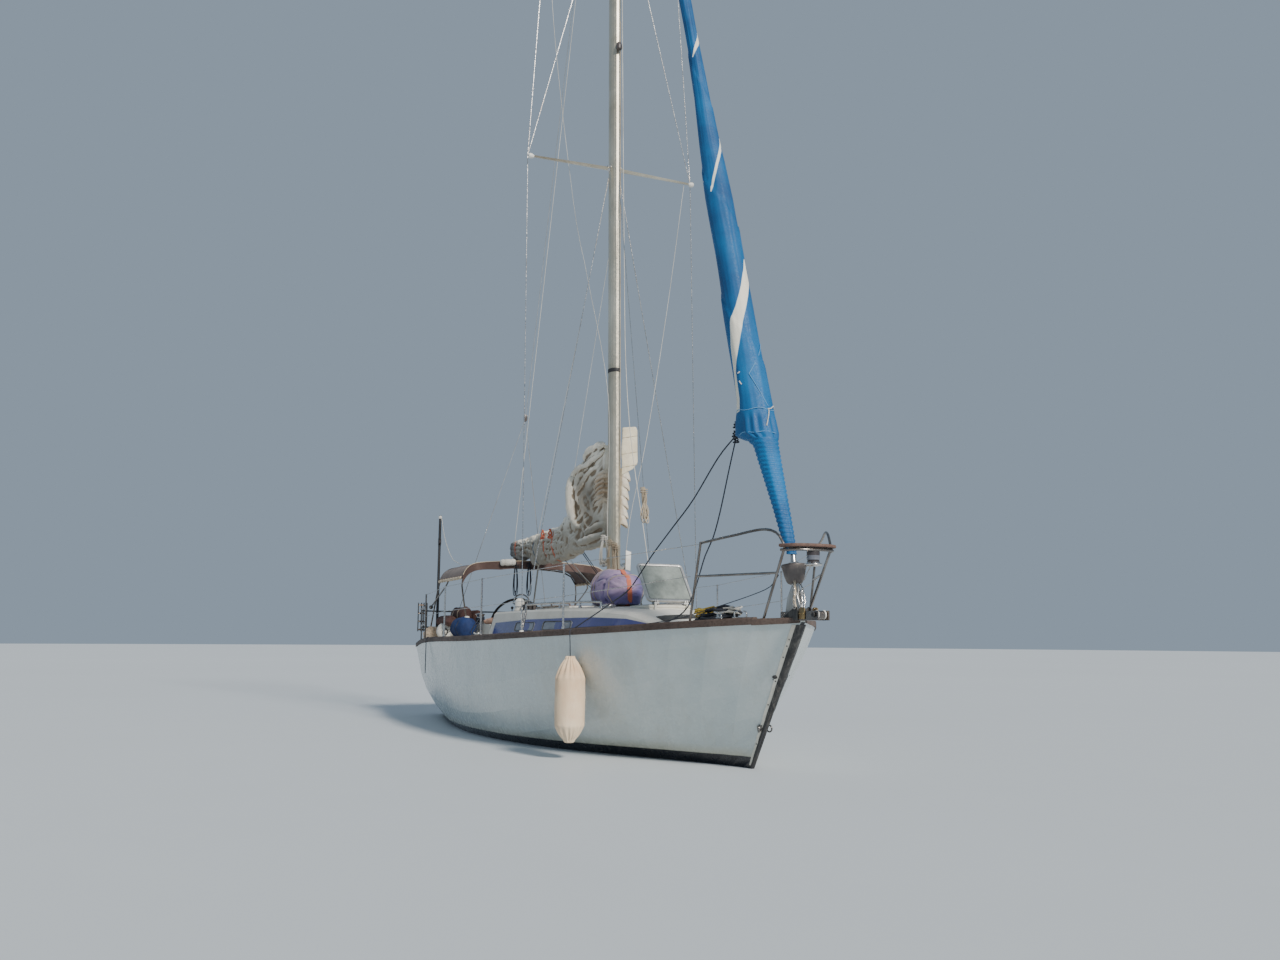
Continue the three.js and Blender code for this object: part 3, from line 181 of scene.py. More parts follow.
def placed(data):
    """A new object for a mesh or a curve, selected alone."""
    piece = bpy.data.objects.new(data.name, data)
    bpy.context.scene.collection.objects.link(piece)
    return only(piece)


def fit(piece, name, made, body="hull_body", smooth=35):
    """Names a finished piece, puts its place into its mesh, and gives it its finish and its body."""
    only(piece)
    if piece.type == "CURVE":
        bpy.ops.object.convert(target="MESH")
    bpy.ops.object.transform_apply(location=True, rotation=True, scale=True)
    bpy.ops.object.shade_smooth_by_angle(angle=math.radians(smooth))
    piece.name = piece.data.name = name
    piece.data.materials.clear()
    piece.data.materials.append(made)
    if body:
        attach(piece, body)
    bpy.ops.object.select_all(action="DESELECT")
    return piece


def eased(points, step=0.08, ring=False):
    """Points along a smooth line through the given ones, about one step apart."""
    points = [Vector(p) for p in points]
    line = []
    count = len(points)
    for i in range(count if ring else count - 1):
        a, b = points[i], points[(i + 1) % count]
        before = points[i - 1] if i or ring else a * 2 - b
        after = points[(i + 2) % count] if i + 2 < count or ring else b * 2 - a
        cuts = max(1, round((b - a).length / step))
        for k in range(cuts):
            t = k / cuts
            line.append(0.5 * (2 * a + (b - before) * t + (2 * before - 5 * a + 4 * b - after) * t * t
                               + (3 * a - before - 3 * b + after) * t ** 3))
    return line if ring else line + [points[-1]]


def evenly(a, b, parts):
    """Values from a to b in so many even steps."""
    return [a + (b - a) * k / parts for k in range(parts + 1)]


def circle(count):
    """Angles at even steps once round."""
    return [2 * math.pi * k / count for k in range(count)]


def hung(a, b, sag=0.01, parts=16):
    """Points of a line from a to b that sags by this share of its span."""
    a, b = Vector(a), Vector(b)
    drop = Vector((0, 0, sag * (b - a).length))
    return [a.lerp(b, t) - drop * 4 * t * (1 - t) for t in evenly(0, 1, parts)]


def tube(points, thick, sides=8, ring=False):
    """A round tube of that thickness along the points, as a mesh."""
    curve = bpy.data.curves.new("tube", "CURVE")
    curve.dimensions = "3D"
    curve.bevel_depth = thick / 2
    curve.bevel_resolution = max(0, sides // 2 - 2)
    curve.use_fill_caps = not ring
    spline = curve.splines.new("POLY")
    spline.points.add(len(points) - 1)
    spline.points.foreach_set("co", [value for p in points for value in (*p, 1.0)])
    spline.use_cyclic_u = ring
    piece = placed(curve)
    bpy.ops.object.convert(target="MESH")
    return piece


def rope(name, points, thick, made, swings=False, sides=6):
    """A line along these points; one that swings, from the hull to the boom, is left off the hull's body."""
    points = [Vector(p) for p in points]
    piece = fit(tube(points, thick, sides), name, made, None if swings else "hull_body", 80)
    if swings:
        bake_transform(piece)
    return piece


white_line = finish("white_line", (0.50, 0.47, 0.41), (0.80, 0.78, 0.72), (0.7, 0.9), grain=240, weave=520,
                    bump=0.7)
tan_line = finish("tan_line", (0.33, 0.26, 0.18), (0.62, 0.53, 0.40), (0.75, 0.95), grain=240, weave=520,
                  bump=0.7)
dark_line = finish("dark_line", (0.012, 0.014, 0.022), (0.05, 0.055, 0.075), (0.7, 0.9), grain=240, weave=520,
                   bump=0.7)


def mast_x(z):
    return 0.343 - 0.0208 * (z - 1.64)


sides = ((-1, "stbd"), (1, "port"))
clew = (3.835, -0.125, 3.215)
side_deck = [(1.0, -1.33, 1.262), (-0.4, -1.41, 1.232), (-1.6, -1.30, 1.27), (-2.2, -1.06, 1.44),
             (-2.36, -0.985, 1.475)]
rope("genoa_sheet_fore",
     eased([clew, (3.72, -0.151, 2.881), (3.62, -0.200, 2.469), (3.54, -0.239, 2.214), (3.46, -0.287, 2.039),
            (3.34, -0.352, 1.683), (3.20, -0.40, 1.485), (2.98, -0.54, 1.372), (2.70, -0.76, 1.352),
            (2.04, -1.18, 1.32), *side_deck]), 0.014, dark_line)
inner_lead = [(1.0, -1.12, 1.285), (0.3, -1.26, 1.262), (-0.4, -1.35, 1.242), (-1.6, -1.25, 1.28),
              (-2.15, -1.02, 1.46), (-2.36, -0.965, 1.502)]
rope("genoa_sheet_aft",
     eased([(3.825, -0.140, 3.20), (3.62, -0.221, 3.011), (3.20, -0.294, 2.630), (2.90, -0.379, 2.374),
            (2.55, -0.451, 2.112), (2.25, -0.470, 1.913), (2.08, -0.532, 1.744), (1.92, -0.639, 1.626),
            (1.80, -0.757, 1.517), (1.62, -0.865, 1.407), (1.36, -0.954, 1.305), *inner_lead]), 0.014,
     dark_line)
rope("furling_line",
     eased([(4.60, -0.112, 1.80), (4.42, -0.10, 1.70), (4.20, -0.167, 1.63), (3.95, -0.38, 1.529),
            (3.75, -0.49, 1.475), (3.5, -0.66, 1.40), (2.9, -1.05, 1.325), (1.9, -1.36, 1.28),
            (0.0, -1.585, 1.225), (-1.9, -1.575, 1.215), (-2.8, -1.30, 1.30), (-3.1, -1.06, 1.41)]), 0.008,
     dark_line)
rope("boom_lift", hung((mast_x(15.04) - 0.16, 0, 15.03), (-3.93, 0, 2.735), 0.004, 40), 0.008, white_line,
     swings=True)
for y, label in sides:
    rope("lazy_line_" + label, hung((mast_x(7.25), 0.085 * y, 7.25), (-2.28, 0.205 * y, 2.44), 0.006, 30),
         0.006, white_line, swings=True)
rope("flag_line_stbd",
     eased([(0.015, -0.87, 11.90), (0.16, -0.90, 9.66), (0.07, -0.53, 6.98), (0.12, -0.32, 5.87),
            (0.45, -0.15, 4.28), (0.42, -0.13, 2.6), (0.40, -0.105, 1.9)], 0.3), 0.006, white_line)
rope("flag_line_port", eased([(0.105, 1.08, 7.42), (0.17, 0.80, 5.59), (0.42, 0.40, 3.76), (0.44, 0.17, 2.71),
                              (0.40, 0.105, 1.9)], 0.3), 0.006, white_line)
rope("spare_halyard",
     eased([(mast_x(14.9) + 0.11, 0.03, 14.9), (0.40, 0.06, 7.0), (0.52, 0.09, 4.23), (1.085, 0.09, 2.44),
            (1.43, 0.06, 1.66)], 0.3), 0.010, white_line)
rope("main_halyard", hung((mast_x(14.95) - 0.13, 0.02, 14.95), (mast_x(3.95) - 0.135, 0.05, 3.95), 0.001, 30),
     0.010, white_line)
rope("main_lift_tail", hung((mast_x(9.5) + 0.118, 0.035, 9.5), (mast_x(2.6) + 0.118, 0.035, 2.6), 0.0, 20),
     0.010, tan_line)
for i, (y, shift) in enumerate(((-0.028, 0.0), (-0.012, 0.05), (0.012, 0.02), (0.028, 0.07))):
    rope("vang_part_%d" % (i + 1), hung((0.215, y * 0.6, 1.80), (-0.86 - shift, y, 2.425), 0.0, 14), 0.010,
         dark_line, swings=True)
for i, y in enumerate((-0.10, -0.14)):
    rope("reef_line_%d" % (i + 1), hung((0.24, y, 1.75), (-1.0 - 0.1 * i, y, 2.27), 0.02, 14), 0.009,
         (white_line, dark_line)[i], swings=True)
for i, x in enumerate((-0.026, -0.009, 0.009, 0.026)):
    rope("mainsheet_part_%d" % (i + 1), hung((-3.25 + x, 0.0, 0.70), (-2.62 + x, 0.0, 2.50), 0.0, 18), 0.010,
         white_line, swings=True)
rope("pole_line",
     eased([(-4.49, -1.075, 3.16), (-4.30, -1.05, 2.78), (-4.0, -1.0, 2.45), (-3.60, -0.95, 2.325)]), 0.009,
     white_line)

# HULL, KEEL AND RUDDER
# Moulded glass and polyester in white gelcoat that has chalked and streaked; its grey-green tone is
# painted shade and painted reflection of the water. Black antifouling below the waterline, which climbs
# a little to the bow. The ballast keel is bolted on below.

def clad(made, *names):
    """Gives solids of the frame their finish."""
    for name in names:
        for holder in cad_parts[name].material_slots:
            holder.material = made


def height_mask(made, low, slope, soft=0.004):
    """A mask that is 1 below a line at height low on the centre of the boat, rising by slope."""
    tree = made.node_tree
    split = add(tree, "SeparateXYZ", add(tree, "TexCoord").outputs["Object"])
    line = add(tree, "Math", split.outputs[0], slope, low, how={"operation": "MULTIPLY_ADD"})
    over = add(tree, "Math", split.outputs[2], line.outputs[0], how={"operation": "SUBTRACT"})
    return add(tree, "MapRange", over.outputs[0], -soft, soft, 1.0, 0.0).outputs[0]


# The topsides' grey-green colour is painted shade and painted reflection of the water on white gelcoat; the
# runs of dirt are real.
shade_tinted_topsides = finish("shade_tinted_topsides", (0.47, 0.54, 0.54), (0.62, 0.67, 0.65), (0.16, 0.34), cloud=0.7, grain=14,
                  bump=0.04, coat=0.25, dirt=(0.42, 0.40, 0.32, 0.35), runs=3.0)
mark(shade_tinted_topsides, (0.50, 0.50, 0.40), height_mask(shade_tinted_topsides, 0.13, 0.0068, 0.05))
mark(shade_tinted_topsides, (0.012, 0.013, 0.018), height_mask(shade_tinted_topsides, 0.085, 0.0068))
clad(shade_tinted_topsides, "hull")
antifouling = finish("antifouling", (0.010, 0.012, 0.018), (0.035, 0.04, 0.055), (0.6, 0.85), cloud=1.5,
                     grain=40, bump=0.3, dirt=(0.06, 0.08, 0.05, 0.5))
clad(antifouling, "keel", "rudder", "drive_leg")
bronze = finish("bronze", (0.30, 0.19, 0.08), (0.55, 0.38, 0.18), (0.3, 0.5), metal=1.0, grain=60,
                dirt=(0.10, 0.22, 0.17, 0.6))
clad(bronze, "propeller")
engine_green = finish("engine_green", (0.035, 0.10, 0.07), (0.06, 0.16, 0.11), (0.35, 0.6), grain=50,
                      dirt=(0.03, 0.02, 0.01, 0.6))
clad(engine_green, "engine_block")

# TOE RAIL AND DECK
# The toe rail is teak, gone brown and grey, on the joint of hull and deck. The deck is moulded in
# cream-white with a non-slip grain; the cockpit seats and sole carry loose teak slats.

def timber(name, deep, pale):
    """Weathered wood with its grain along the boat."""
    made = finish(name, deep, pale, (0.55, 0.85), cloud=1.0, grain=30, bump=0.3)
    tree = made.node_tree
    drawn = add(tree, "Mapping", add(tree, "TexCoord").outputs["Object"], Scale=(0.4, 8.0, 8.0))
    lines = add(tree, "TexNoise", drawn.outputs[0], Scale=9.0, Detail=7.0, Roughness=0.75)
    dark = add(tree, "MapRange", lines.outputs[0], 0.48, 0.66, 0.0, 0.85)
    mark(made, tuple(value * 0.35 for value in deep), dark.outputs[0])
    return made


rail_teak = timber("grey_brown_teak", (0.060, 0.040, 0.032), (0.150, 0.105, 0.085))
clad(rail_teak, "toe_rail_stbd", "toe_rail_port")
teak = timber("weathered_teak", (0.15, 0.085, 0.05), (0.32, 0.21, 0.14))
clad(teak, "washboard")
sole_teak = timber("cabin_teak", (0.20, 0.10, 0.045), (0.34, 0.19, 0.10))
clad(sole_teak, "cabin_sole")
deck_grain = finish("non_slip_deck", (0.64, 0.62, 0.56), (0.78, 0.76, 0.70), (0.45, 0.7), cloud=1.2, grain=150,
                    bump=0.5, dirt=(0.45, 0.40, 0.30, 0.4), runs=2.0)
clad(deck_grain, "deck")
black_trim = finish("black_trim", (0.012, 0.012, 0.014), (0.045, 0.045, 0.05), (0.4, 0.7), grain=50, bump=0.2,
                    dirt=(0.20, 0.17, 0.13, 0.35))
clad(black_trim, "stem_plate", "stern_pole")

# SPARS, STANDING RIGGING AND DECK METALWORK
# Champagne-anodised alloy spars with worn, chalky patches; wire, rails and sheet fittings of polished
# stainless steel with tea-coloured stains at their feet.

spar = finish("anodised_spar", (0.56, 0.50, 0.38), (0.82, 0.76, 0.62), (0.28, 0.45), metal=0.85, cloud=1.6,
              grain=35, bump=0.05, dirt=(0.30, 0.27, 0.22, 0.5), runs=8.0)
clad(spar, "mast", "boom", "spreader_lower_stbd", "spreader_lower_port", "spreader_upper_stbd",
     "spreader_upper_port")
steel = finish("polished_steel", (0.46, 0.45, 0.44), (0.74, 0.73, 0.71), (0.12, 0.34), metal=1.0, cloud=6.0,
               grain=70, bump=0.04, dirt=(0.34, 0.20, 0.10, 0.5), runs=14.0)
clad(steel, "lifelines_stbd", "lifelines_port", "winch_stbd", "winch_port", "steering_wheel", "handrail_stbd",
     "handrail_port", "shrouds_stbd", "shrouds_port", "backstay", "forestay", "babystay", "furling_drum")
moulded = finish("moulded_white", (0.62, 0.61, 0.56), (0.80, 0.79, 0.74), (0.25, 0.45), cloud=2.5, grain=60,
                 bump=0.06, coat=0.2, dirt=(0.45, 0.40, 0.30, 0.4))
clad(moulded, "pedestal", "sliding_hatch")
window_blue = finish("window_band", (0.035, 0.04, 0.17), (0.075, 0.075, 0.27), (0.08, 0.2), cloud=1.4, grain=30,
                     bump=0.02, coat=0.6, dirt=(0.30, 0.28, 0.30, 0.25), runs=5.0)
clad(window_blue, "window_band_stbd", "window_band_port")
smoky = finish("smoky_acrylic", (0.10, 0.11, 0.14), (0.17, 0.18, 0.21), (0.03, 0.12), grain=40, bump=0.01,
               coat=0.5)
clad(smoky, "fore_hatch_lid")
cloth_plain = finish("old_sailcloth", (0.60, 0.52, 0.40), (0.82, 0.76, 0.62), (0.7, 0.9), weave=260, bump=0.3)
clad(cloth_plain, "mainsail_heap", "mainsail_head")
brown = finish("brown_canvas", (0.11, 0.05, 0.035), (0.20, 0.10, 0.07), (0.8, 0.95), weave=300, bump=0.4,
               sheen=0.2)
clad(brown, "bimini_canopy", "brown_bundle")
blue_cover = finish("blue_cover", (0.01, 0.10, 0.34), (0.02, 0.19, 0.52), (0.6, 0.85), weave=300, bump=0.3)
clad(blue_cover, "genoa_furled", "blue_bag")
cream = finish("cream_cloth", (0.72, 0.52, 0.34), (0.86, 0.70, 0.50), (0.8, 0.95), weave=300, bump=0.4)
clad(cream, "fender_hanging", "fender_white")
purple = finish("purple_cloth", (0.24, 0.19, 0.34), (0.42, 0.34, 0.52), (0.8, 0.95), weave=300, bump=0.4)
clad(purple, "sail_bag")
clad(dark_line, "line_heap")

# FURLED GENOA
# The headsail is rolled round its foil on the forestay. Its leech and foot carry a strip of blue
# ultraviolet cloth, so bare sail shows only where the turns lie apart; below the clew it is lashed tight.

def between(rows, value):
    """The other columns of a table at a value of its first column."""
    if value <= rows[0][0]:
        return rows[0][1:]
    for a, b in zip(rows, rows[1:]):
        if value <= b[0]:
            t = (value - a[0]) / (b[0] - a[0])
            return [p + (q - p) * t for p, q in zip(a[1:], b[1:])]
    return rows[-1][1:]


def edit(piece=None):
    """Goes into edit mode with all of one piece selected."""
    if piece:
        only(piece)
    bpy.ops.object.mode_set(mode="EDIT")
    bpy.ops.mesh.select_all(action="SELECT")


def leave():
    bpy.ops.object.mode_set(mode="OBJECT")
    return bpy.context.object


def finished(piece, **steps):
    """Adds modifiers with their settings and applies them."""
    only(piece)
    for kind, settings in steps.items():
        made = piece.modifiers.new(kind, kind)
        for setting, value in settings.items():
            setattr(made, setting, value)
        bpy.ops.object.modifier_apply(modifier=kind)
    return piece


def sealed(piece):
    """Merges a mesh's doubled points and turns its faces outwards."""
    edit(piece)
    bpy.ops.mesh.remove_doubles(threshold=1e-5)
    bpy.ops.mesh.normals_make_consistent(inside=False)
    return leave()


def skin(rings, ring=True, ends=True):
    """A skin over rings of points, closed round, with a fan of faces at each end."""
    count = len(rings[0])
    points = [Vector(p) for line in rings for p in line]
    faces = []
    for r in range(len(rings) - 1):
        for i in range(count if ring else count - 1):
            j = (i + 1) % count
            faces.append((r * count + i, r * count + j, (r + 1) * count + j, (r + 1) * count + i))
    if ends:
        for line, turn in ((0, -1), (len(rings) - 1, 1)):
            points.append(sum((Vector(p) for p in rings[line]), Vector()) / count)
            edge = [line * count + i for i in range(count)]
            for i in range(count):
                faces.append((edge[i], edge[(i + 1) % count], len(points) - 1)[::turn])
    mesh = bpy.data.meshes.new("skin")
    mesh.from_pydata(points, [], faces)
    edit(placed(mesh))
    bpy.ops.mesh.normals_make_consistent(inside=False)
    return leave()


def crumple(piece, room, grow=0.06, press=1.0, voxel=0.0, frames=20, finer=1):
    """Cloth cut a little too large for its shape creases as it settles; no point moves further than room."""
    only(piece)
    if voxel:
        finished(piece, REMESH={"mode": "VOXEL", "voxel_size": voxel})
    start = [v.co.copy() for v in piece.data.vertices]
    cloth = piece.modifiers.new("cloth", "CLOTH")
    wear = cloth.settings
    wear.quality, wear.mass, wear.bending_stiffness = 4, 0.2, 0.05
    wear.tension_stiffness = wear.compression_stiffness = 12
    wear.use_pressure, wear.uniform_pressure_force = True, press
    wear.shrink_min = wear.shrink_max = -grow
    wear.effector_weights.gravity = 0
    for count in range(1, frames + 1):
        bpy.context.scene.frame_set(count)
    settled = piece.evaluated_get(bpy.context.evaluated_depsgraph_get()).data
    ends = [v.co.copy() for v in settled.vertices]
    piece.modifiers.remove(cloth)
    bpy.context.scene.frame_set(1)
    for vertex, a, b in zip(piece.data.vertices, start, ends):
        vertex.co = a + (b - a) * min(1, room / max((b - a).length, 1e-6))
    if finer:
        finished(piece, SUBSURF={"levels": finer, "render_levels": finer})
    return piece


def tell(piece, label, values):
    """Stores one number for each point of a piece, which its finish reads."""
    made = piece.data.attributes.new(label, "FLOAT", "POINT")
    made.data.foreach_set("value", values)


def read(made, label):
    return add(made.node_tree, "Attribute", how={"attribute_name": label}).outputs["Fac"]


def stay_x(z):
    share = (z - 1.5) / 13.56
    head = mast_x(15.1) + 0.25
    return 4.822 + (head - 4.822) * share - 0.24 * share * (1 - share)


# Height, half length, half width, and how far the roll lies aft of the stay.
roll = [(1.99, .046, .046, 0), (2.20, .068, .068, .016), (2.45, .082, .082, .030), (2.76, .100, .100, .052),
        (3.06, .118, .118, .074), (3.12, .150, .140, .108), (3.19, .222, .196, .196), (3.56, .170, .168, .140),
        (4.10, .161, .160, .130), (4.67, .154, .154, .100), (5.26, .150, .150, .083), (5.90, .145, .145, .066),
        (6.53, .118, .118, .046), (7.20, .090, .090, .022), (7.90, .072, .072, 0), (9.80, .058, .058, 0),
        (12.4, .044, .044, 0), (14.2, .030, .030, 0)]
# Bare sail between the turns: height, and the angles round the roll that it shows between.
bare = [[(3.42, -122, -88), (3.84, -97, -82), (4.12, -88, -50), (4.40, -70, -20), (4.56, -38, 2),
         (4.72, -14, 26), (4.90, 10, 60), (5.14, 46, 56)],
        [(5.92, -66, -62), (6.08, -51, -40), (6.30, -17, -5), (6.44, 8, 22), (6.60, 36, 58), (6.70, 56, 60)],
        [(7.76, -62, -56), (7.90, -27, 0), (8.03, 12, 60), (8.16, 54, 60)],
        [(9.60, -60, -55), (9.80, -20, 5), (9.95, 30, 60), (10.1, 54, 60)]]
bare += [[(z + 0.78, a + 176, b + 176) for z, a, b in line] for line in bare[1:]]
heights = [1.99 + 0.01 * i for i in range(158)] + [3.57 + 0.03 * i for i in range(355)]
rings, shown = [], []
for z in heights:
    a, b, aft = between(roll, z)
    line = []
    for step in range(72):
        angle = math.radians(step * 5)
        round_at = Vector((math.cos(angle), math.sin(angle), 0))
        swell = 0.010 * noise.noise(Vector((round_at.x * 1.5, round_at.y * 1.5, z * 1.1 - angle * 0.25)))
        if z > 3.42:
            lap = (step / 72 + z / 1.56 + 0.32) % 1
            swell += min(a, 0.12) * (0.10 * lap * lap - 0.04)
            swell += 0.004 * noise.noise(Vector((round_at.x * 7, round_at.y * 7, z * 2.0 - angle * 0.8)))
        elif z > 3.13:
            swell += 0.010 * math.sin(step * 0.9 + 2 * math.sin(step * 0.3)) * min(1, (3.42 - z) / 0.1)
        else:
            wobble = 0.006 * noise.noise(round_at * 3 + Vector((0, 0, z * 9)))
            swell += 0.0045 * math.sin((z + 0.012 * round_at.x + wobble) * 2 * math.pi / 0.044)
        line.append((stay_x(z) - aft + (a + swell) * round_at.x, (b + swell) * round_at.y, z))
        best = -3.0
        for table in bare:
            if table[0][0] <= z <= table[-1][0]:
                low, high = between(table, z)
                middle = (low + high) / 2
                off = abs((step * 5 - middle + 180) % 360 - 180)
                best = max(best, ((high - low) / 2 - off) / 8)
        shown.append(max(best, -3.0))
    rings.append(line)
genoa = skin(rings)
tell(genoa, "bare", shown + [-3.0, -3.0])
uv_blue = finish("uv_blue", (0.002, 0.060, 0.19), (0.004, 0.150, 0.38), (0.5, 0.75), cloud=1.3, grain=60,
                 weave=420, bump=0.15, dirt=(0.02, 0.12, 0.28, 0.25), runs=3.0)
edge = add(uv_blue.node_tree, "MapRange", read(uv_blue, "bare"), -0.30, -0.22).outputs[0]
mark(uv_blue, (0.16, 0.36, 0.55), edge)
inner = add(uv_blue.node_tree, "MapRange", read(uv_blue, "bare"), -0.12, 0.0).outputs[0]
mark(uv_blue, (0.84, 0.80, 0.68), inner)
fit(genoa, "genoa_roll", uv_blue, smooth=80)
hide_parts("genoa_furled")
seam_blue = finish("seam_blue", (0.10, 0.28, 0.50), (0.16, 0.38, 0.60), (0.7, 0.9), weave=400, bump=0.3)


def on_roll(z, degrees, proud=0.004):
    """A point on the roll's face."""
    a, b, aft = between(roll, z)
    angle = math.radians(degrees)
    return Vector((stay_x(z) - aft + (a + proud) * math.cos(angle), (b + proud) * math.sin(angle), z))


lines = [[on_roll(4.16 - 0.36 * t / 12, 52 - 84 * t / 12) for t in range(13)],
         [on_roll(3.80 - 0.34 * t / 12, -32 + 46 * t / 12) for t in range(13)],
         [on_roll(3.43 + 0.01 * math.sin(t * 0.7), -120 + t * 9) for t in range(40)],
         [on_roll(3.19 + 0.008 * math.sin(t * 0.9), -150 + t * 9, 0.002) for t in range(40)]]
for i, line in enumerate(lines):
    fit(tube(line, 0.007, 6), "roll_seam_%d" % i, seam_blue)
lines = [[on_roll(3.83, -62, 0.012), on_roll(3.81, -69, 0.02)],
         [on_roll(3.73, -70, 0.012), on_roll(3.69, -62, 0.02)],
         [on_roll(3.45, 44, 0.010), on_roll(3.47, 36, 0.02), on_roll(3.44, 22, 0.012), on_roll(3.43, 8, 0.010)],
         [on_roll(3.42, 12, 0.010), on_roll(3.36, 6, 0.014), on_roll(3.25, -6, 0.012)]]
for i, line in enumerate(lines):
    fit(tube(eased(line, 0.02), 0.011, 6), "roll_tie_%d" % i, white_line)
ring_at = Vector(clew) + Vector((0.012, 0.005, 0.02))
eye = [ring_at + Vector((0.03 * math.cos(t * 0.524), 0, 0.03 * math.sin(t * 0.524))) for t in range(12)]
fit(tube(eye, 0.011, 8, ring=True), "clew_ring", steel)
for i, (dx, dy, dz) in enumerate(((0.004, -0.02, 0.01), (-0.012, 0.0, -0.045), (0.012, -0.012, 0.10))):
    knot = [Vector(clew) + Vector((dx + 0.022 * math.sin(2 * t), dy + 0.022 * math.cos(3 * t),
                                   dz + 0.028 * math.sin(t))) for t in circle(28)]
    fit(tube(knot, 0.014, 6, ring=True), "sheet_knot_%d" % (i + 1), dark_line)

# MAINSAIL
# A heavy old cream mainsail dropped on its boom without a cover: the head stands up against the mast,
# the luff hangs in loops on its slides, and the after part is tied down with red webbing.

# Distance aft, half width, height over the boom, drop below it.
heap = [(.10, .050, 1.26, .03), (.25, .100, 1.28, .06), (.45, .145, 1.20, .08), (.60, .170, 1.11, .10),
        (.75, .190, .97, .12), (.82, .200, .86, .13), (.89, .210, .68, .14), (.97, .220, .50, .16),
        (1.10, .230, .42, .18), (1.29, .225, .35, .21), (1.45, .21, .28, .23), (2.05, .195, .21, .26),
        (2.75, .17, .15, .28), (2.92, .165, .145, .18), (3.30, .15, .11, .205), (3.75, .12, .09, .22),
        (4.08, .080, .08, .14)]
goose_x, goose_z = 0.165, 2.44
ties_aft = (1.62, 2.02, 2.55, 3.05, 3.62)


def boom_z(aft):
    return goose_z + 0.052 * aft


def heap_edge(aft):
    """The outline of the heap across the boom, as (y, height) pairs."""
    half, high, drop = between(heap, aft)
    line = [(-.048, -drop), (-.8 * half, -.95 * drop), (-half, -.25 * drop), (-half, .4 * high),
            (-.82 * half, .82 * high), (-.3 * half, high), (.25 * half, .98 * high), (.75 * half, .75 * high),
            (half, .3 * high), (.95 * half, .012), (.055, -.005), (-.03, -.035)]
    return eased([(0, y, z) for y, z in line], 0.02 + 0.02 * high, ring=True)


def spaced(line, count):
    """So many points at even steps along a closed line."""
    line = [Vector(p) for p in line] + [Vector(line[0])]
    runs = [0.0]
    for a, b in zip(line, line[1:]):
        runs.append(runs[-1] + (b - a).length)
    made, at = [], 0
    for i in range(count):
        reach = runs[-1] * i / count
        while runs[at + 1] < reach:
            at += 1
        t = (reach - runs[at]) / max(runs[at + 1] - runs[at], 1e-9)
        made.append(line[at].lerp(line[at + 1], t))
    return made


def furrow(value, middle, width):
    return math.exp(-((value - middle) / width) ** 2)


def crease(place, size, sharp=1.0):
    """Ridged folds: 1 on a ridge, falling to 0 in the hollows between."""
    return max(0.0, 1 - abs(noise.noise(place * size)) * 3.2) ** sharp


def fold(points):
    """One thick roll of cloth through points (x, y, z, radius), rounded off at both ends."""
    path = eased([p[:3] for p in points], 0.035)
    line, rings = [Vector(p[:3]) for p in points], []
    for i, p in enumerate(path):
        along = (path[min(i + 1, len(path) - 1)] - path[max(i - 1, 0)]).normalized()
        side = along.cross(Vector((0.2, -1, 0.1))).normalized()
        near = sorted((((p - q).length, k) for k, q in enumerate(line)))[:2]
        share = near[0][0] / max(near[0][0] + near[1][0], 1e-6)
        thick = points[near[0][1]][3] * (1 - share) + points[near[1][1]][3] * share
        thick *= min(1, 0.35 + 0.4 * min(i, len(path) - 1 - i)) * (1 + 0.12 * noise.noise(p * 14))
        rings.append([p + (side * math.cos(t) + along.cross(side) * math.sin(t)) * thick for t in circle(12)])
    return skin(rings)


rings = []
for step in range(150):
    aft = 0.10 + 3.98 * step / 149
    half, high, drop = between(heap, aft)
    line = []
    for p in spaced(heap_edge(aft), 90):
        side = Vector((0, p.y / (half + 0.05), (p.z - high * 0.4) / (0.5 * high + 0.2)))
        side = side.normalized() if side.length > 0.01 else Vector((0, 0, 1))
        tall = min(1, max(0, (1.40 - aft) / 0.4))
        lie = Vector((aft * 0.45, p.y * 1.6, p.z * 2.2))
        deep = 0.034 * (crease(lie + Vector((0, 7.3, 0)), 4.0, 1.3) - 0.4) * (1 - tall)
        tuck = Vector((aft * 0.8 - p.z * 0.5, p.y, aft * 0.3 + p.z * 0.4))
        deep += 0.030 * (crease(tuck, 6.0, 1.5) - 0.4) * tall
        for tied in ties_aft:
            deep -= 0.026 * furrow(aft, tied, 0.035)
        edge = min(1, step / 4, (149 - step) / 3)
        inner = 0.1 if abs(p.y) < 0.09 and abs(p.z) < 0.10 else 1.0
        place = p + side * deep * edge * inner
        line.append((goose_x - aft, place.y, boom_z(aft) + place.z))
    rings.append(line)
cloth = [skin(rings)]
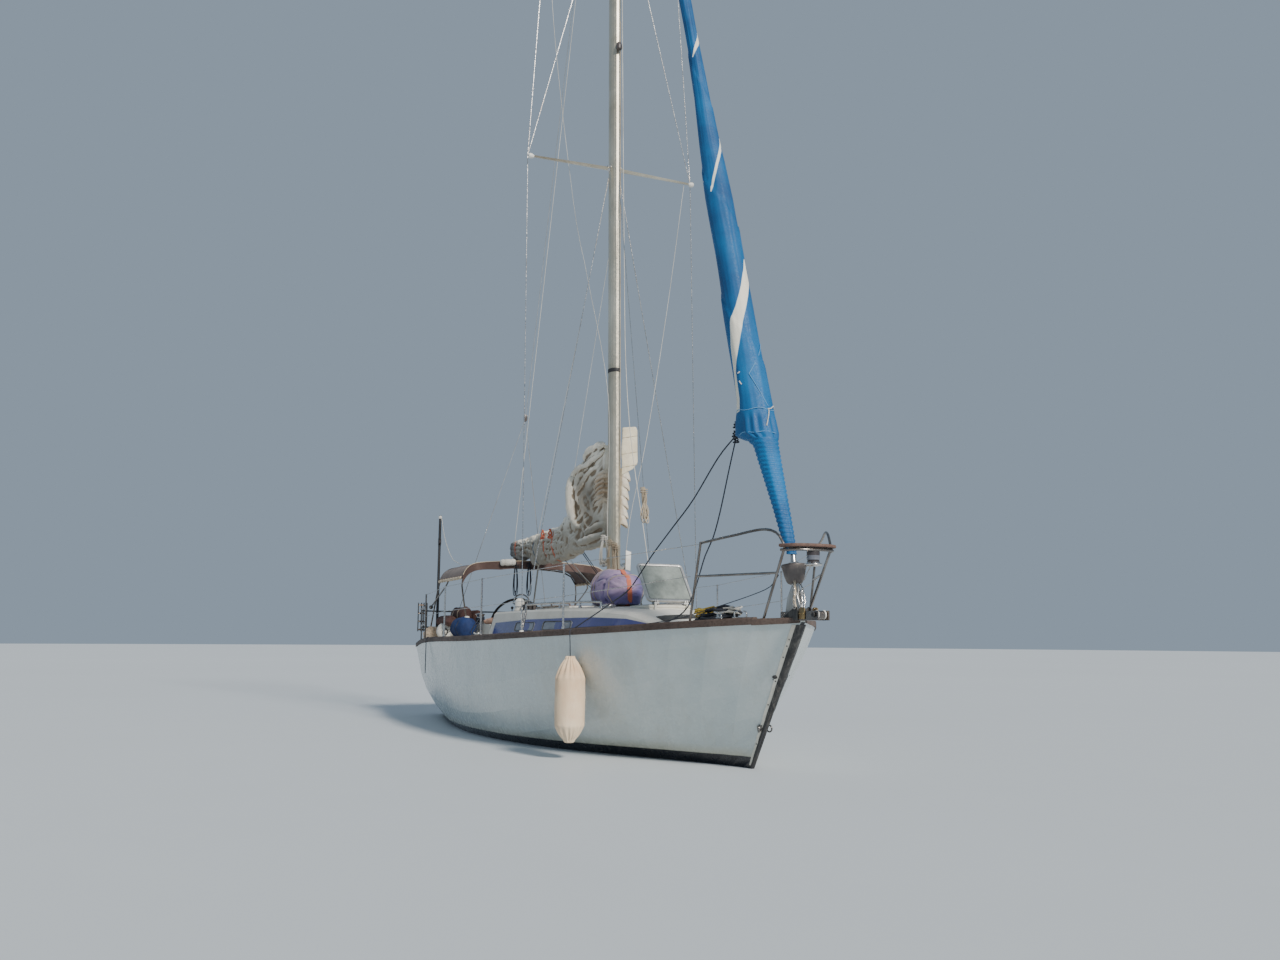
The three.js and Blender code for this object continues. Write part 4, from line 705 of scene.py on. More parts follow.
# Folds seen on the starboard side: the turned top rim, the lobe that hangs aft, pleats and belly.
rolls = [[(.08, -.05, 3.72, .034), (-.01, -.08, 3.70, .046), (-.18, -.13, 3.66, .050), (-.32, -.15, 3.61, .046),
          (-.37, -.16, 3.55, .030)],
         [(.08, -.05, 3.64, .022), (-.01, -.08, 3.58, .028), (-.21, -.14, 3.51, .034), (-.46, -.19, 3.45, .038),
          (-.70, -.22, 3.38, .036)],
         [(-.68, -.21, 3.40, .038), (-.67, -.225, 3.27, .062), (-.64, -.23, 3.13, .070),
          (-.61, -.23, 2.97, .070), (-.59, -.22, 2.84, .062), (-.51, -.20, 2.72, .050),
          (-.41, -.18, 2.66, .024)],
         [(-.10, -.11, 3.43, .018), (-.28, -.15, 3.34, .028), (-.41, -.17, 3.24, .030),
          (-.53, -.19, 3.12, .028), (-.47, -.19, 2.98, .016)],
         [(-.56, -.20, 2.72, .018), (-.43, -.18, 2.80, .026), (-.35, -.16, 2.87, .016)],
         [(-.43, -.18, 2.65, .018), (-.34, -.16, 2.73, .024), (-.27, -.14, 2.80, .014)],
         [(-.32, -.16, 2.58, .034), (-.08, -.11, 2.64, .046), (.08, -.05, 2.68, .040)],
         [(-.52, -.19, 2.47, .034), (-.24, -.15, 2.49, .046), (-.02, -.09, 2.53, .046),
          (.08, -.05, 2.57, .036)]]
# The luff lies in seven stacked loops against the mast.
rolls += [[(.08, -.05, 3.37 - .06 * i, .022), (.05, -.065, 3.34 - .06 * i, .026),
           (-.03, -.095, 3.30 - .06 * i, .026), (-.13, -.115, 3.27 - .06 * i, .014)] for i in range(7)]
# Bulk of the cloth behind them.
rolls += [[(.04, -.04, 3.60, .050), (-.12, -.07, 3.60, .070), (-.30, -.09, 3.53, .075),
           (-.52, -.12, 3.38, .080), (-.60, -.15, 3.20, .075), (-.60, -.16, 2.95, .070),
           (-.55, -.14, 2.80, .060)]]
# The port side and the top, which the photo hides, are folded alike.
rolls += [[(.06, .04, 3.60 - .11 * i, .024), (-.12, .12, 3.58 - .12 * i, .034),
           (-.34, .175, 3.50 - .13 * i, .040), (-.58 + .01 * i, .195, 3.30 - .12 * i, .036),
           (-.64, .19, 3.12 - .11 * i, .022)] for i in range(5)]
# Aft of the tall part the cloth lies in long rolls along the boom.
for turn in (-2.55, -2.05, -1.62, -1.15, -.62, -.15, .35, .85, 1.35, 1.75):
    line = []
    for k in range(13):
        aft = 0.98 + 3.02 * k / 12
        half, high, drop = between(heap, aft)
        angle = turn + 0.22 * noise.noise(Vector((aft * 1.3, turn * 3, 2.2)))
        s, c = math.sin(angle), math.cos(angle)
        up = high * 0.86 if c > 0 else drop * 0.86
        bulk = 0.8 + 0.5 * noise.noise(Vector((aft * 1.1, turn, 9.1)))
        line.append((goose_x - aft, half * 0.90 * s, boom_z(aft) + up * c,
                     0.020 + 0.030 * between(heap, aft)[0] / 0.23 * bulk))
    rolls.append(line)
cloth += [fold(line) for line in rolls]
bpy.ops.object.select_all(action="DESELECT")
for made in cloth:
    made.select_set(True)
sail = bpy.context.view_layer.objects.active = cloth[0]
bpy.ops.object.join()
sail = crumple(sail, 0.010, grow=0.08, press=0.0, voxel=0.011, frames=8, finer=0)


def hollows(piece, passes=22):
    """How far each point lies below the smoothed face around it, in metres."""
    mesh = piece.data
    count = len(mesh.vertices)
    place, out = numpy.empty(count * 3), numpy.empty(count * 3)
    mesh.vertices.foreach_get("co", place)
    mesh.vertex_normals.foreach_get("vector", out)
    ends = numpy.empty(len(mesh.edges) * 2, dtype=numpy.int32)
    mesh.edges.foreach_get("vertices", ends)
    place, out, ends = place.reshape(-1, 3), out.reshape(-1, 3), ends.reshape(-1, 2)
    smooth, share = place.copy(), numpy.bincount(ends.ravel(), minlength=count)[:, None]
    for i in range(passes):
        total = numpy.stack([numpy.bincount(ends[:, 0], smooth[ends[:, 1], k], count)
                             + numpy.bincount(ends[:, 1], smooth[ends[:, 0], k], count) for k in range(3)], 1)
        smooth = total / share
    return ((smooth - place) * out).sum(1)


def pleated(piece, deep, close, seed, rise):
    """Presses crisp creases into cloth: ridges of noise that run long at an angle and lie close across it."""
    c, s = math.cos(rise), math.sin(rise)
    rows = [(v, v.normal.copy(), v.co.copy()) for v in piece.data.vertices]
    for v, out, at in rows:
        q = Vector(((at.x * c + at.z * s) * close * 0.22, at.y * close * 0.5,
                    (at.z * c - at.x * s) * close + seed))
        q.z += 0.9 * noise.noise(q * 0.5)
        ridge = (1 - 2.6 * abs(noise.noise(q))) + 0.40 * (1 - 2.6 * abs(noise.noise(q * 2.3)))
        v.co = at + out * deep * max(-0.6, ridge - 0.55)


def creased(made, dark, deep=0.004, most=0.85):
    """Darkens a cloth finish in its creases: painted shade."""
    low = add(made.node_tree, "MapRange", read(made, "hollow"), 0.0003, deep, 0.0, most).outputs[0]
    mark(made, dark, low)
    return made


pleated(sail, 0.013, 8.5, 3.0, 0.75)
tell(sail, "hollow", hollows(sail))
# Brown staining near the luff, plus painted shade on the recessed middle panel where it faces starboard.
luff_brown_and_panel_shade = []
for v in sail.data.vertices:
    near_luff = furrow(v.co.x, 0.05, 0.17) * furrow(v.co.z, 3.16, 0.22)
    panel = 0.75 * furrow(v.co.x + 0.30 * (v.co.z - 3.1), -0.36, 0.17) * furrow(v.co.z, 3.08, 0.26)
    panel *= 1 if v.normal.x < 0.62 else 0.4
    ply = 0.5 + 0.5 * math.cos(2 * math.pi * (v.co.z - 0.3 * v.co.x) / 0.06)
    luff_brown_and_panel_shade.append(min(1, near_luff * (0.55 + 0.45 * ply) + panel * 0.7))
tell(sail, "stain_and_shade", luff_brown_and_panel_shade)
# Painted shade: darker in the recess behind the hanging lobe on the starboard face, and low on the sides of the
# heap along the boom.
lower_heap_shade = []
for v in sail.data.vertices:
    hollow = 0.85 * furrow(v.co.x + 0.30 * (v.co.z - 3.1), -0.30, 0.24) * furrow(v.co.z, 3.05, 0.36)
    below = 0.75 * max(0, min(1, (2.84 - v.co.z) * 5)) * max(0, min(1, 0.9 - v.normal.z))
    lower_heap_shade.append(min(1, (hollow if v.normal.y < -0.25 else 0) + below))
tell(sail, "grime_and_shade", lower_heap_shade)
tell(sail, "tail", [0.85 * max(0, min(1, (-3.35 - v.co.x) * 3)) for v in sail.data.vertices])
sailcloth = finish("old_sailcloth_folds", (0.74, 0.68, 0.56), (0.93, 0.90, 0.80), (0.65, 0.88), cloud=2.4,
                   grain=40, weave=300, bump=0.25, dirt=(0.46, 0.37, 0.26, 0.35), runs=4.0, sheen=0.05)
# Colours laid over the cloth: brown staining with painted shade, more painted shade low down and behind the
# lobe, the grey-blue end of the sail, and painted shade in the creases.
mark(sailcloth, (0.40, 0.25, 0.13), read(sailcloth, "stain_and_shade"))
mark(sailcloth, (0.25, 0.23, 0.19), read(sailcloth, "grime_and_shade"))
mark(sailcloth, (0.11, 0.13, 0.15), read(sailcloth, "tail"))
creased(sailcloth, (0.22, 0.16, 0.10), 0.0060, 0.92)
fit(sail, "mainsail_folds", sailcloth, "boom_body", 180)
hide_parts("mainsail_heap")
grey_cloth = finish("boom_end_cloth", (0.10, 0.13, 0.17), (0.20, 0.24, 0.29), (0.7, 0.9), weave=300, bump=0.3)
coral = finish("coral_webbing", (0.55, 0.12, 0.06), (0.78, 0.24, 0.14), (0.7, 0.9), weave=500, bump=0.4)


def band(name, points, wide, thin, made, body="hull_body", ring=True, across=(1, 0, 0)):
    """A flat strap along the points, with its width along one direction."""
    points = [Vector(p) for p in points]
    across = Vector(across).normalized()
    count = len(points)
    rows = []
    for i, p in enumerate(points):
        ahead = points[(i + 1) % count] if ring or i + 1 < count else p
        behind = points[i - 1] if ring or i else p
        out = (ahead - behind).cross(across).normalized() * thin / 2
        half = across * wide / 2
        rows.append([p - half - out, p + half - out, p + half + out, p - half + out])
    return fit(sealed(skin(rows + ([rows[0]] if ring else []), ends=not ring)), name, made, body, 50)


def laid_on(points, middle, cloth):
    """Pulls a loop in to 6 mm over the face of a cloth piece, straight towards its middle line."""
    made = []
    for p, centre in zip(points, middle):
        p, centre = Vector(p), Vector(centre)
        start = centre + (p - centre) * 1.5
        met, spot, out, face = cloth.ray_cast(start, (centre - start).normalized())
        made.append(spot + (p - centre).normalized() * 0.006 if met else p)
    return [(made[i - 1] + made[i] * 2 + made[(i + 1) % len(made)]) / 4 for i in range(len(made))]


for i, aft in enumerate(ties_aft):
    x, lift = goose_x - aft, boom_z(aft)
    loop = [(x, p.y, lift + p.z) for p in spaced(heap_edge(aft), 44)]
    loop = laid_on(loop, [(x, -0.03, lift)] * 44, sail)
    band("sail_tie_%d" % (i + 1), loop, 0.038, 0.006, (coral, coral, grey_cloth, tan_line, coral)[i],
         "boom_body")
for i, (aft, y) in enumerate(((1.62, -0.225), (2.02, -0.20))):
    knot = [(goose_x - aft + 0.035 * math.sin(2 * t), y - 0.022 + 0.02 * math.cos(3 * t),
             boom_z(aft) + 0.14 + 0.06 * math.sin(t)) for t in circle(26)]
    fit(tube(knot, 0.022, 6, ring=True), "sail_tie_knot_%d" % (i + 1), coral, "boom_body")

# The head is a flat doubled panel on the port side of the mast, over loops of the luff that hang on the slides.
rings = []
for step in range(84):
    z = 2.66 + 0.70 * step / 83
    loop = abs(math.sin((z - 2.66) * math.pi / 0.1166)) ** 0.6
    far = 0.120 + 0.035 * (z - 2.66) / 0.70 + 0.045 * loop
    line = []
    for angle in circle(36):
        c, s = math.cos(angle), math.sin(angle)
        reach = (far - 0.065) / 2
        wide = 0.026 + 0.020 * loop
        line.append((0.365 + wide * s + 0.010 * noise.noise(Vector((c, s, z * 9))), 0.065 + reach * (1 + c),
                     z - 0.050 * (c + 1) * loop))
    rings.append(line)
loops = crumple(skin(rings), 0.010, grow=0.04, press=0.2)
tell(loops, "stain_and_shade", [0.30 + 0.25 * noise.noise(v.co * 30) for v in loops.data.vertices])
tell(loops, "hollow", hollows(loops, 8))
fit(loops, "luff_loops", sailcloth, smooth=180)
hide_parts("mainsail_head")
rows = []
for t in evenly(0, 1, 24):
    near, far = 0.062 + 0.006 * math.sin(t * 9), min(0.288, 0.215 + 0.50 * t) - 0.02 * max(0, t - 0.93) / 0.07
    rows.append([(0.392 + 0.022 * math.sin(s * 2.8 + t * 1.2) + 0.010 * noise.noise(Vector((s * 4, t * 5, 0))),
                  near + (far - near) * s, (3.27 + 0.09 * s) * (1 - t) + (3.885 + 0.035 * s) * t)
                 for s in evenly(0, 1, 14)])
panel = finished(skin(rows, ring=False, ends=False), SOLIDIFY={"thickness": 0.012, "offset": 0},
                 SUBSURF={"levels": 1, "render_levels": 1})
head_cloth = finish("head_cloth", (0.66, 0.58, 0.42), (0.84, 0.77, 0.60), (0.65, 0.88), cloud=5.0, grain=40,
                    weave=300, bump=0.3, dirt=(0.40, 0.31, 0.20, 0.5), runs=6.0)
fit(panel, "head_panel", head_cloth, smooth=60)
for i, t in enumerate((0.12, 0.40, 0.75)):
    seam = [(0.402 + 0.022 * math.sin(s * 2.8 + t * 1.2), 0.066 + 0.215 * s, 3.30 + 0.60 * t + 0.05 * s)
            for s in evenly(0, 1, 10)]
    fit(tube(seam, 0.005, 6), "head_seam_%d" % (i + 1), tan_line)

# COVER BAG AT THE MAST
# A spare sail in a lilac cotton bag, lashed down on the roof at the foot of the mast with a coral strap.

bag_end, bag_long, bag_y, bag_z = 0.53, 0.73, -0.185, 1.80
rings = []
for share in evenly(0, 1, 39):
    x = bag_end + bag_long * share
    plump = (1 - (2 * share - 1) ** 4) ** 0.5 * 0.94 + 0.06
    high = (0.335 + 0.05 * math.sin(share * 5.5)) * plump
    line = []
    for angle in circle(56):
        c, s = math.cos(angle), math.sin(angle)
        dent = 1 - 0.10 * furrow(share, 0.72, 0.05) - 0.07 * furrow(share, 0.34, 0.04)
        lump = 1 + 0.10 * noise.noise(Vector((c * 1.3, s * 1.3, share * 3.5)))
        over = (high * 0.60 if s > 0 else 0.19) * abs(s) ** 0.8 * math.copysign(1, s) * dent * lump
        line.append((x, bag_y + 0.240 * plump * abs(c) ** 0.75 * math.copysign(1, c) * dent * lump,
                     max(1.632, 1.79 + over)))
    rings.append(line)
bag = crumple(skin(rings), 0.030, grow=0.14, press=1.2)
lilac = finish("lilac_cotton", (0.30, 0.20, 0.36), (0.58, 0.42, 0.58), (0.8, 0.95), cloud=3.0, grain=60,
               weave=340, bump=0.3, dirt=(0.12, 0.10, 0.26, 0.55), runs=5.0, sheen=0.2)
pleated(bag, 0.014, 12.0, 8.0, 0.12)
tell(bag, "hollow", hollows(bag, 10))
tell(bag, "blue",
     [min(1, max(0, (v.co.y + 0.17) * 7) + 0.8 * max(0, min(1, (1.80 - v.co.z) * 9)))
      for v in bag.data.vertices])
mark(lilac, (0.13, 0.11, 0.29), read(lilac, "blue"))
creased(lilac, (0.07, 0.05, 0.16))
fit(bag, "cover_bag", lilac, smooth=180)
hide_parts("sail_bag")


def round_bag(share):
    """A loop drawn tight round the bag at a share of its length."""
    x = bag_end + bag_long * share
    ring = [(x, bag_y + 0.26 * math.cos(t), bag_z + 0.22 * math.sin(t)) for t in circle(48)]
    return laid_on(ring, [(x, bag_y, bag_z)] * 48, bag)


ends = [(0.90 + 0.62 * math.cos(t), -0.145 - 0.045 * math.cos(t), bag_z + 0.34 * math.sin(t))
        for t in circle(48)]
lengthwise = laid_on(ends, [(0.90, p[1], bag_z) for p in ends], bag)
band("bag_strap", lengthwise, 0.055, 0.008, coral, across=(0.05, 1, 0))
for i, share in enumerate((0.26, 0.33, 0.88)):
    fit(tube(round_bag(share), 0.010, 6, ring=True), "bag_lashing_%d" % (i + 1), tan_line)

# AWNING OVER THE COCKPIT
# One piece of brown canvas stretched over three hoops, with a hemmed fore edge, a valance below it and
# cream webbing fore and aft; its sides are rolled up. Sun has bleached the upper side.

awning_half, fore_hoop = 1.16, -2.77


def awning_z(s, x):
    low = 2.362 - 0.07 * s * s - 0.212 * abs(s) ** 16
    if x > -3.60:
        sag = 0.022 * math.sin(math.pi * (x - fore_hoop) / -0.83) ** 2
    else:
        sag = 0.016 * math.sin(math.pi * (x + 3.6) / -0.57) ** 2
    return low - sag * (1 - s * s) - 0.004


canvas = finish("awning_canvas", (0.060, 0.036, 0.032), (0.125, 0.075, 0.064), (0.8, 0.95), cloud=1.5, grain=50,
                weave=320, bump=0.35, dirt=(0.22, 0.16, 0.14, 0.45), runs=5.0, sheen=0.15)
rows = []
for x in evenly(-2.752, -4.186, 43):
    rows.append([(x, awning_half * s,
                  awning_z(s, min(x, fore_hoop)) + 0.004 * noise.noise(Vector((x * 5, s * 6, 0))))
                 for s in evenly(-1, 1, 80)])
top = finished(skin(rows, ring=False, ends=False), SOLIDIFY={"thickness": 0.004, "offset": -1})
fit(top, "awning_top", canvas, smooth=60)
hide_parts("bimini_canopy")
rows = []
for t in evenly(0, 1, 6):
    rows.append([(-2.752 + 0.012 * math.sin(k * 0.35) * t, awning_half * s,
                  awning_z(s, fore_hoop) - 0.125 * t * (1 - 0.12 * abs(math.sin(k * 0.157)))) for k, s in
                 enumerate(evenly(-0.985, 0.985, 80))])
valance = finished(skin(rows, ring=False, ends=False), SOLIDIFY={"thickness": 0.003})
fit(valance, "awning_valance", canvas, smooth=60)
for i, x in enumerate((-2.80, -3.60, -4.15)):
    arc = [(x, 1.15 * s, awning_z(s, x) + 0.004) for s in evenly(-0.97, 0.97, 60)]
    band("awning_seam_%d" % (i + 1), arc, 0.045, 0.003, canvas, ring=False)
cream_web = finish("cream_webbing", (0.50, 0.40, 0.28), (0.74, 0.62, 0.46), (0.8, 0.95), weave=500, bump=0.4)
hem = [(-2.750, 1.158 * s, awning_z(s, fore_hoop) + 0.003) for s in evenly(-0.985, 0.985, 80)]
fit(tube(hem, 0.009, 8), "awning_hem", cream_web)
for i, y in enumerate((-0.62, 0.62)):
    strap = [(x, y, awning_z(y / awning_half, min(x, fore_hoop)) + 0.005) for x in evenly(-2.75, -4.18, 30)]
    band("awning_strap_%d" % (i + 1), strap, 0.030, 0.003, cream_web, ring=False, across=(0, 1, 0))
for y, label in sides:
    rolled = [(x, 1.155 * y, 2.085 + 0.006 * math.sin(x * 40)) for x in evenly(-2.80, -4.16, 40)]
    fit(tube(rolled, 0.040, 12), "rolled_side_" + label, cream_web)

# FENDERS
# An inflated fender in a cream cloth cover, gathered at both ends, hangs at the starboard bow on a
# lanyard from the rail.

def cover(at, radius, foot, top, room):
    """A cloth cover on a fender, gathered on a cord at both ends, from foot to top."""
    rings = []
    for t in evenly(0, 1, 59):
        wide = radius * max(0.17, min(1, (t / 0.20) ** 0.6, ((1 - t) / 0.26) ** 0.62))
        frill = radius * (0.10 if t < 0.025 or t > 0.975 else 0)
        line = []
        for angle in circle(120):
            gather = 0.14 * furrow(t, 0.97, 0.17) + 0.12 * furrow(t, 0.03, 0.12)
            pleat = math.sin(angle * 15 + 1.5 * math.sin(angle * 3)) * gather
            uneven = 0.025 * noise.noise(Vector((math.cos(angle), math.sin(angle), t * 3)) * 2)
            away = (wide + frill) * (1 + pleat + uneven)
            line.append((at[0] + away * math.cos(angle), at[1] + away * math.sin(angle),
                         foot + (top - foot) * t))
        rings.append(line)
    return crumple(skin(rings), room, grow=0.05, press=2.0)


cover_cloth = finish("fender_cover", (0.74, 0.50, 0.31), (0.90, 0.74, 0.54), (0.8, 0.95), cloud=2.0, grain=60,
                     weave=340, bump=0.3, dirt=(0.50, 0.34, 0.22, 0.35), runs=6.0, sheen=0.15)
low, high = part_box("fender_hanging")
at = (2.52, (low.y + low.y + 0.31) / 2)
hanging = cover(at, 0.148, 0.175, 1.03, 0.010)
fit(hanging, "covered_fender", cover_cloth, smooth=180)
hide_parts("fender_hanging")
rail_y = -1.345
rope("fender_lanyard",
     eased([(2.52, rail_y + 0.004, 1.315), (2.52, rail_y - 0.022, 1.30),
            (2.52, (rail_y + at[1]) / 2 - 0.012, 1.15), (2.52, at[1], 0.985)], 0.03), 0.010, dark_line)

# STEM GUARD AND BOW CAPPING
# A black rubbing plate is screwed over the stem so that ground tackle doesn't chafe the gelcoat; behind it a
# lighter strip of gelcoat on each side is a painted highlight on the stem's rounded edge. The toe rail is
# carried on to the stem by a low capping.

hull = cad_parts["hull"]
bpy.context.view_layer.update()


def on_hull(x, z, side):
    """The point of the hull's skin at this place, on one side, and its outward direction."""
    met, spot, out, face = hull.ray_cast(Vector((x, side * 2.5, z)), Vector((0, -side, 0)))
    return (spot, out) if met else (Vector((x, 0, z)), Vector((0, side, 0)))


def stem_x(z):
    return hull.ray_cast(Vector((6, 0, z)), Vector((-1, 0, 0)))[1].x


def shell(rows, thick):
    """An open skin over rows of points, given a thickness outwards and a soft edge."""
    return finished(skin(rows, ring=False, ends=False), SOLIDIFY={"thickness": thick, "offset": 1},
                    BEVEL={"width": thick * 0.3, "segments": 2, "limit_method": "ANGLE"})


heights = [0.03 + 0.055 * k for k in range(25)]


def stem_strip(near, far, proud, side):
    """Rows up the stem, on one side, from near to far aft of its edge."""
    rows = []
    for z in heights:
        front = stem_x(z)
        row = []
        for k in range(5):
            spot, out = on_hull(front - near - (far - near) * k / 4 - 0.001, z, side)
            row.append(spot + out * proud)
        rows.append(row)
    return rows


guard_rows = []
for port, stbd, z in zip(stem_strip(0.0, 0.070, 0.002, 1), stem_strip(0.0, 0.030, 0.002, -1), heights):
    guard_rows.append(port[::-1] + [Vector((stem_x(z) + 0.004, 0, z))] + stbd)
guard = shell(guard_rows, 0.006)
rubber = finish("guard_rubber", (0.012, 0.012, 0.014), (0.06, 0.058, 0.055), (0.45, 0.75), cloud=6.0, grain=70,
                bump=0.35, dirt=(0.28, 0.26, 0.22, 0.55), runs=22.0)
fit(guard, "stem_guard", rubber, smooth=40)
pale_gelcoat_and_highlight = finish("pale_gelcoat_and_painted_highlight", (0.62, 0.59, 0.50), (0.86, 0.83, 0.72), (0.5, 0.7), cloud=4.0, grain=60,
               bump=0.1, dirt=(0.45, 0.36, 0.24, 0.5), runs=9.0)
# Painted highlight: a lighter strip of gelcoat on each side of the stem's rounded edge.
for side, label in sides:
    strip = shell(stem_strip(0.030 if side < 0 else 0.070, 0.062 if side < 0 else 0.095, 0.0015, side), 0.003)
    fit(strip, "stem_edge_" + label, pale_gelcoat_and_highlight, smooth=40)


def screw(spot, out, wide, high):
    """A domed screw head on a washer, standing on a face."""
    turn = Vector(out).to_track_quat("Z", "Y").to_euler()
    bpy.ops.mesh.primitive_cylinder_add(vertices=16, radius=wide / 2, depth=high * 0.4,
                                        location=Vector(spot) + Vector(out) * high * 0.2, rotation=turn)
    edit()
    bpy.ops.mesh.select_all(action="DESELECT")
    leave()
    head = bpy.context.object
    top = max(head.data.polygons, key=lambda f: f.normal.z)
    for f in head.data.polygons:
        f.select = f == top
    bpy.ops.object.mode_set(mode="EDIT")
    for share in (0.30, 0.30, 0.40):
        bpy.ops.mesh.inset(thickness=wide * 0.13 * (1 if share < 0.4 else 0.8), depth=high * share)
    leave()
    bpy.ops.object.transform_apply(location=True, rotation=True, scale=True)
    return head


def joined(pieces):
    bpy.ops.object.select_all(action="DESELECT")
    for piece in pieces:
        piece.select_set(True)
    bpy.context.view_layer.objects.active = pieces[0]
    bpy.ops.object.join()
    return bpy.context.object


# Stainless steel for the pulpit, pushpit, ladder and bow fittings, given a dark colour that is painted dark
# reflection and shade; its tea-coloured runs are real stains.
dark_reflection_steel = finish("stained_steel_with_painted_dark_reflection", (0.13, 0.12, 0.115), (0.30, 0.28, 0.26), (0.18, 0.4), metal=1.0, cloud=6.0,
                    grain=70, bump=0.04, dirt=(0.30, 0.17, 0.09, 0.5), runs=14.0)
for side, label in sides:
    heads = []
    for z in (0.24, 0.42, 0.62, 0.84, 1.06, 1.16, 1.22):
        spot, out = on_hull(stem_x(z) - 0.046, z, side)
        heads.append(screw(spot + out * 0.003, out, 0.016, 0.006))
    fit(joined(heads), "stem_screws_" + label, dark_reflection_steel, smooth=40)
for side, label in sides:
    spot, out = on_hull(4.424, 0.878, side)
    turn = out.to_track_quat("Z", "Y").to_euler()
    bpy.ops.mesh.primitive_cylinder_add(vertices=32, radius=0.036, depth=0.012, location=spot + out * 0.006,
                                        rotation=turn)
    vent = bpy.context.object
    vent.scale = (1.0, 0.62, 1.0)
    top = max(vent.data.polygons, key=lambda f: f.normal.z)
    for f in vent.data.polygons:
        f.select = f == top
    bpy.ops.object.mode_set(mode="EDIT")
    bpy.ops.mesh.inset(thickness=0.008, depth=0.004)
    bpy.ops.mesh.inset(thickness=0.006, depth=-0.014)
    leave()
    bpy.ops.object.transform_apply(location=True, rotation=True, scale=True)
    studs = [vent] + [screw(spot + out * 0.012 + Vector((0.026 * k, 0, 0.02 * k)), out, 0.010, 0.005)
                      for k in (-1, 1)]
    fit(joined(studs), "bow_vent_" + label, rubber, smooth=40)
    spot, out = on_hull(4.094, 0.396, side)
    bpy.ops.mesh.primitive_torus_add(major_radius=0.030, minor_radius=0.0075, major_segments=32,
                                     minor_segments=10, location=spot + out * 0.022,
                                     rotation=(math.pi / 2, 0, 0.35 * side))
    eye = bpy.context.object
    turn = out.to_track_quat("Z", "Y").to_euler()
    bpy.ops.mesh.primitive_cylinder_add(vertices=24, radius=0.032, depth=0.008, location=spot + out * 0.004,
                                        rotation=turn)
    foot = finished(bpy.context.object, BEVEL={"width": 0.002, "segments": 2, "limit_method": "ANGLE"})
    fit(joined([foot, eye]), "bow_eye_" + label, dark_reflection_steel, smooth=50)


def deck_edge(x):
    """Half breadth and height of the deck's edge."""
    return between([(-a, b, c)
                    for a, b, c in ((4.834, .017, 1.380), (4.329, .425, 1.350), (3.829, .748, 1.322),
                                    (2.838, 1.198, 1.273), (1.862, 1.470, 1.237), (.894, 1.624, 1.207),
                                    (-.067, 1.686, 1.185), (-1.022, 1.700, 1.172), (-1.974, 1.663, 1.165),
                                    (-2.926, 1.598, 1.150), (-3.872, 1.488, 1.118), (-4.810, 1.343, 1.066))],
                   -x)


def edge_half(x, z, side):
    """Half breadth of the hull at this place, or 20 mm ahead of the stem."""
    met, spot, out, face = hull.ray_cast(Vector((x, side * 2.5, z)), Vector((0, -side, 0)))
    return abs(spot.y) if met else 0.02


for side, label in sides:
    rows = []
    for k in range(15):
        x = 4.470 + 0.352 * k / 14
        sheer = deck_edge(x)[1]
        half = max(edge_half(x, sheer - drop, side) for drop in (0.03, 0.02, 0.01, 0.003))
        tall = 0.046 - 0.010 * k / 14
        inner = max(0.004, half - 0.036)
        rows.append([(x, side * (half + 0.014), sheer - 0.016), (x, side * (half + 0.015), sheer + tall * 0.8),
                     (x, side * (half + 0.004), sheer + tall), (x, side * (inner + 0.006), sheer + tall),
                     (x, side * inner, sheer + tall * 0.8), (x, side * inner, sheer + 0.002)])
    fit(skin(rows), "bow_cap_" + label, rail_teak, smooth=30)

# ANCHOR ROLLER, STEMHEAD AND FAIRLEADS
# A welded stainless channel with a white nylon roller on a through bolt; black chafe plates stand
# beside the furling gear, and a horned fairlead and a cleat sit on each side of the foredeck.

clad(dark_reflection_steel, "bow_roller", "pulpit", "pushpit", "bimini_frame")
roller_at = Vector((5.112, 0, 1.434))


def lathe(profile, at, axis="Z", steps=40, turn=None):
    """A turned part: a half outline of (radius, height) in millimetres, spun round its axis and placed."""
    mesh = bpy.data.meshes.new("turned")
    mesh.from_pydata([(r / 1000, 0, h / 1000) for r, h in profile],
                     [(i, i + 1) for i in range(len(profile) - 1)], [])
    piece = placed(mesh)
    edit(piece)
    bpy.ops.mesh.spin(steps=steps, angle=2 * math.pi, center=(0, 0, 0), axis=(0, 0, 1))
    leave()
    sealed(piece)
    way = Vector(turn) if turn else Vector({"X": (1, 0, 0), "Y": (0, 1, 0), "Z": (0, 0, 1)}[axis])
    piece.rotation_euler = way.to_track_quat("Z", "Y").to_euler()
    piece.location = at
    bpy.ops.object.transform_apply(location=True, rotation=True, scale=True)
    return piece


def plate(outline, deep, edge=0.002):
    """A flat part: an outline of points, given a depth along one direction and eased edges."""
    mesh = bpy.data.meshes.new("plate")
    mesh.from_pydata([Vector(p) for p in outline], [], [list(range(len(outline)))])
    piece = placed(mesh)
    edit(piece)
    bpy.ops.mesh.extrude_region_move(TRANSFORM_OT_translate={"value": deep})
    bpy.ops.mesh.select_all(action="SELECT")
    bpy.ops.mesh.normals_make_consistent(inside=False)
    leave()
    return finished(piece, BEVEL={"width": edge, "segments": 2, "limit_method": "ANGLE", "angle_limit": 0.6})


def board(x0, x1, y0, y1, z, thick, edge=0.003):
    """A flat strip of wood between two x and two y, with its lower face at z."""
    return plate([(x0, y0, z), (x1, y0, z), (x1, y1, z), (x0, y1, z)], (0, 0, thick), edge)


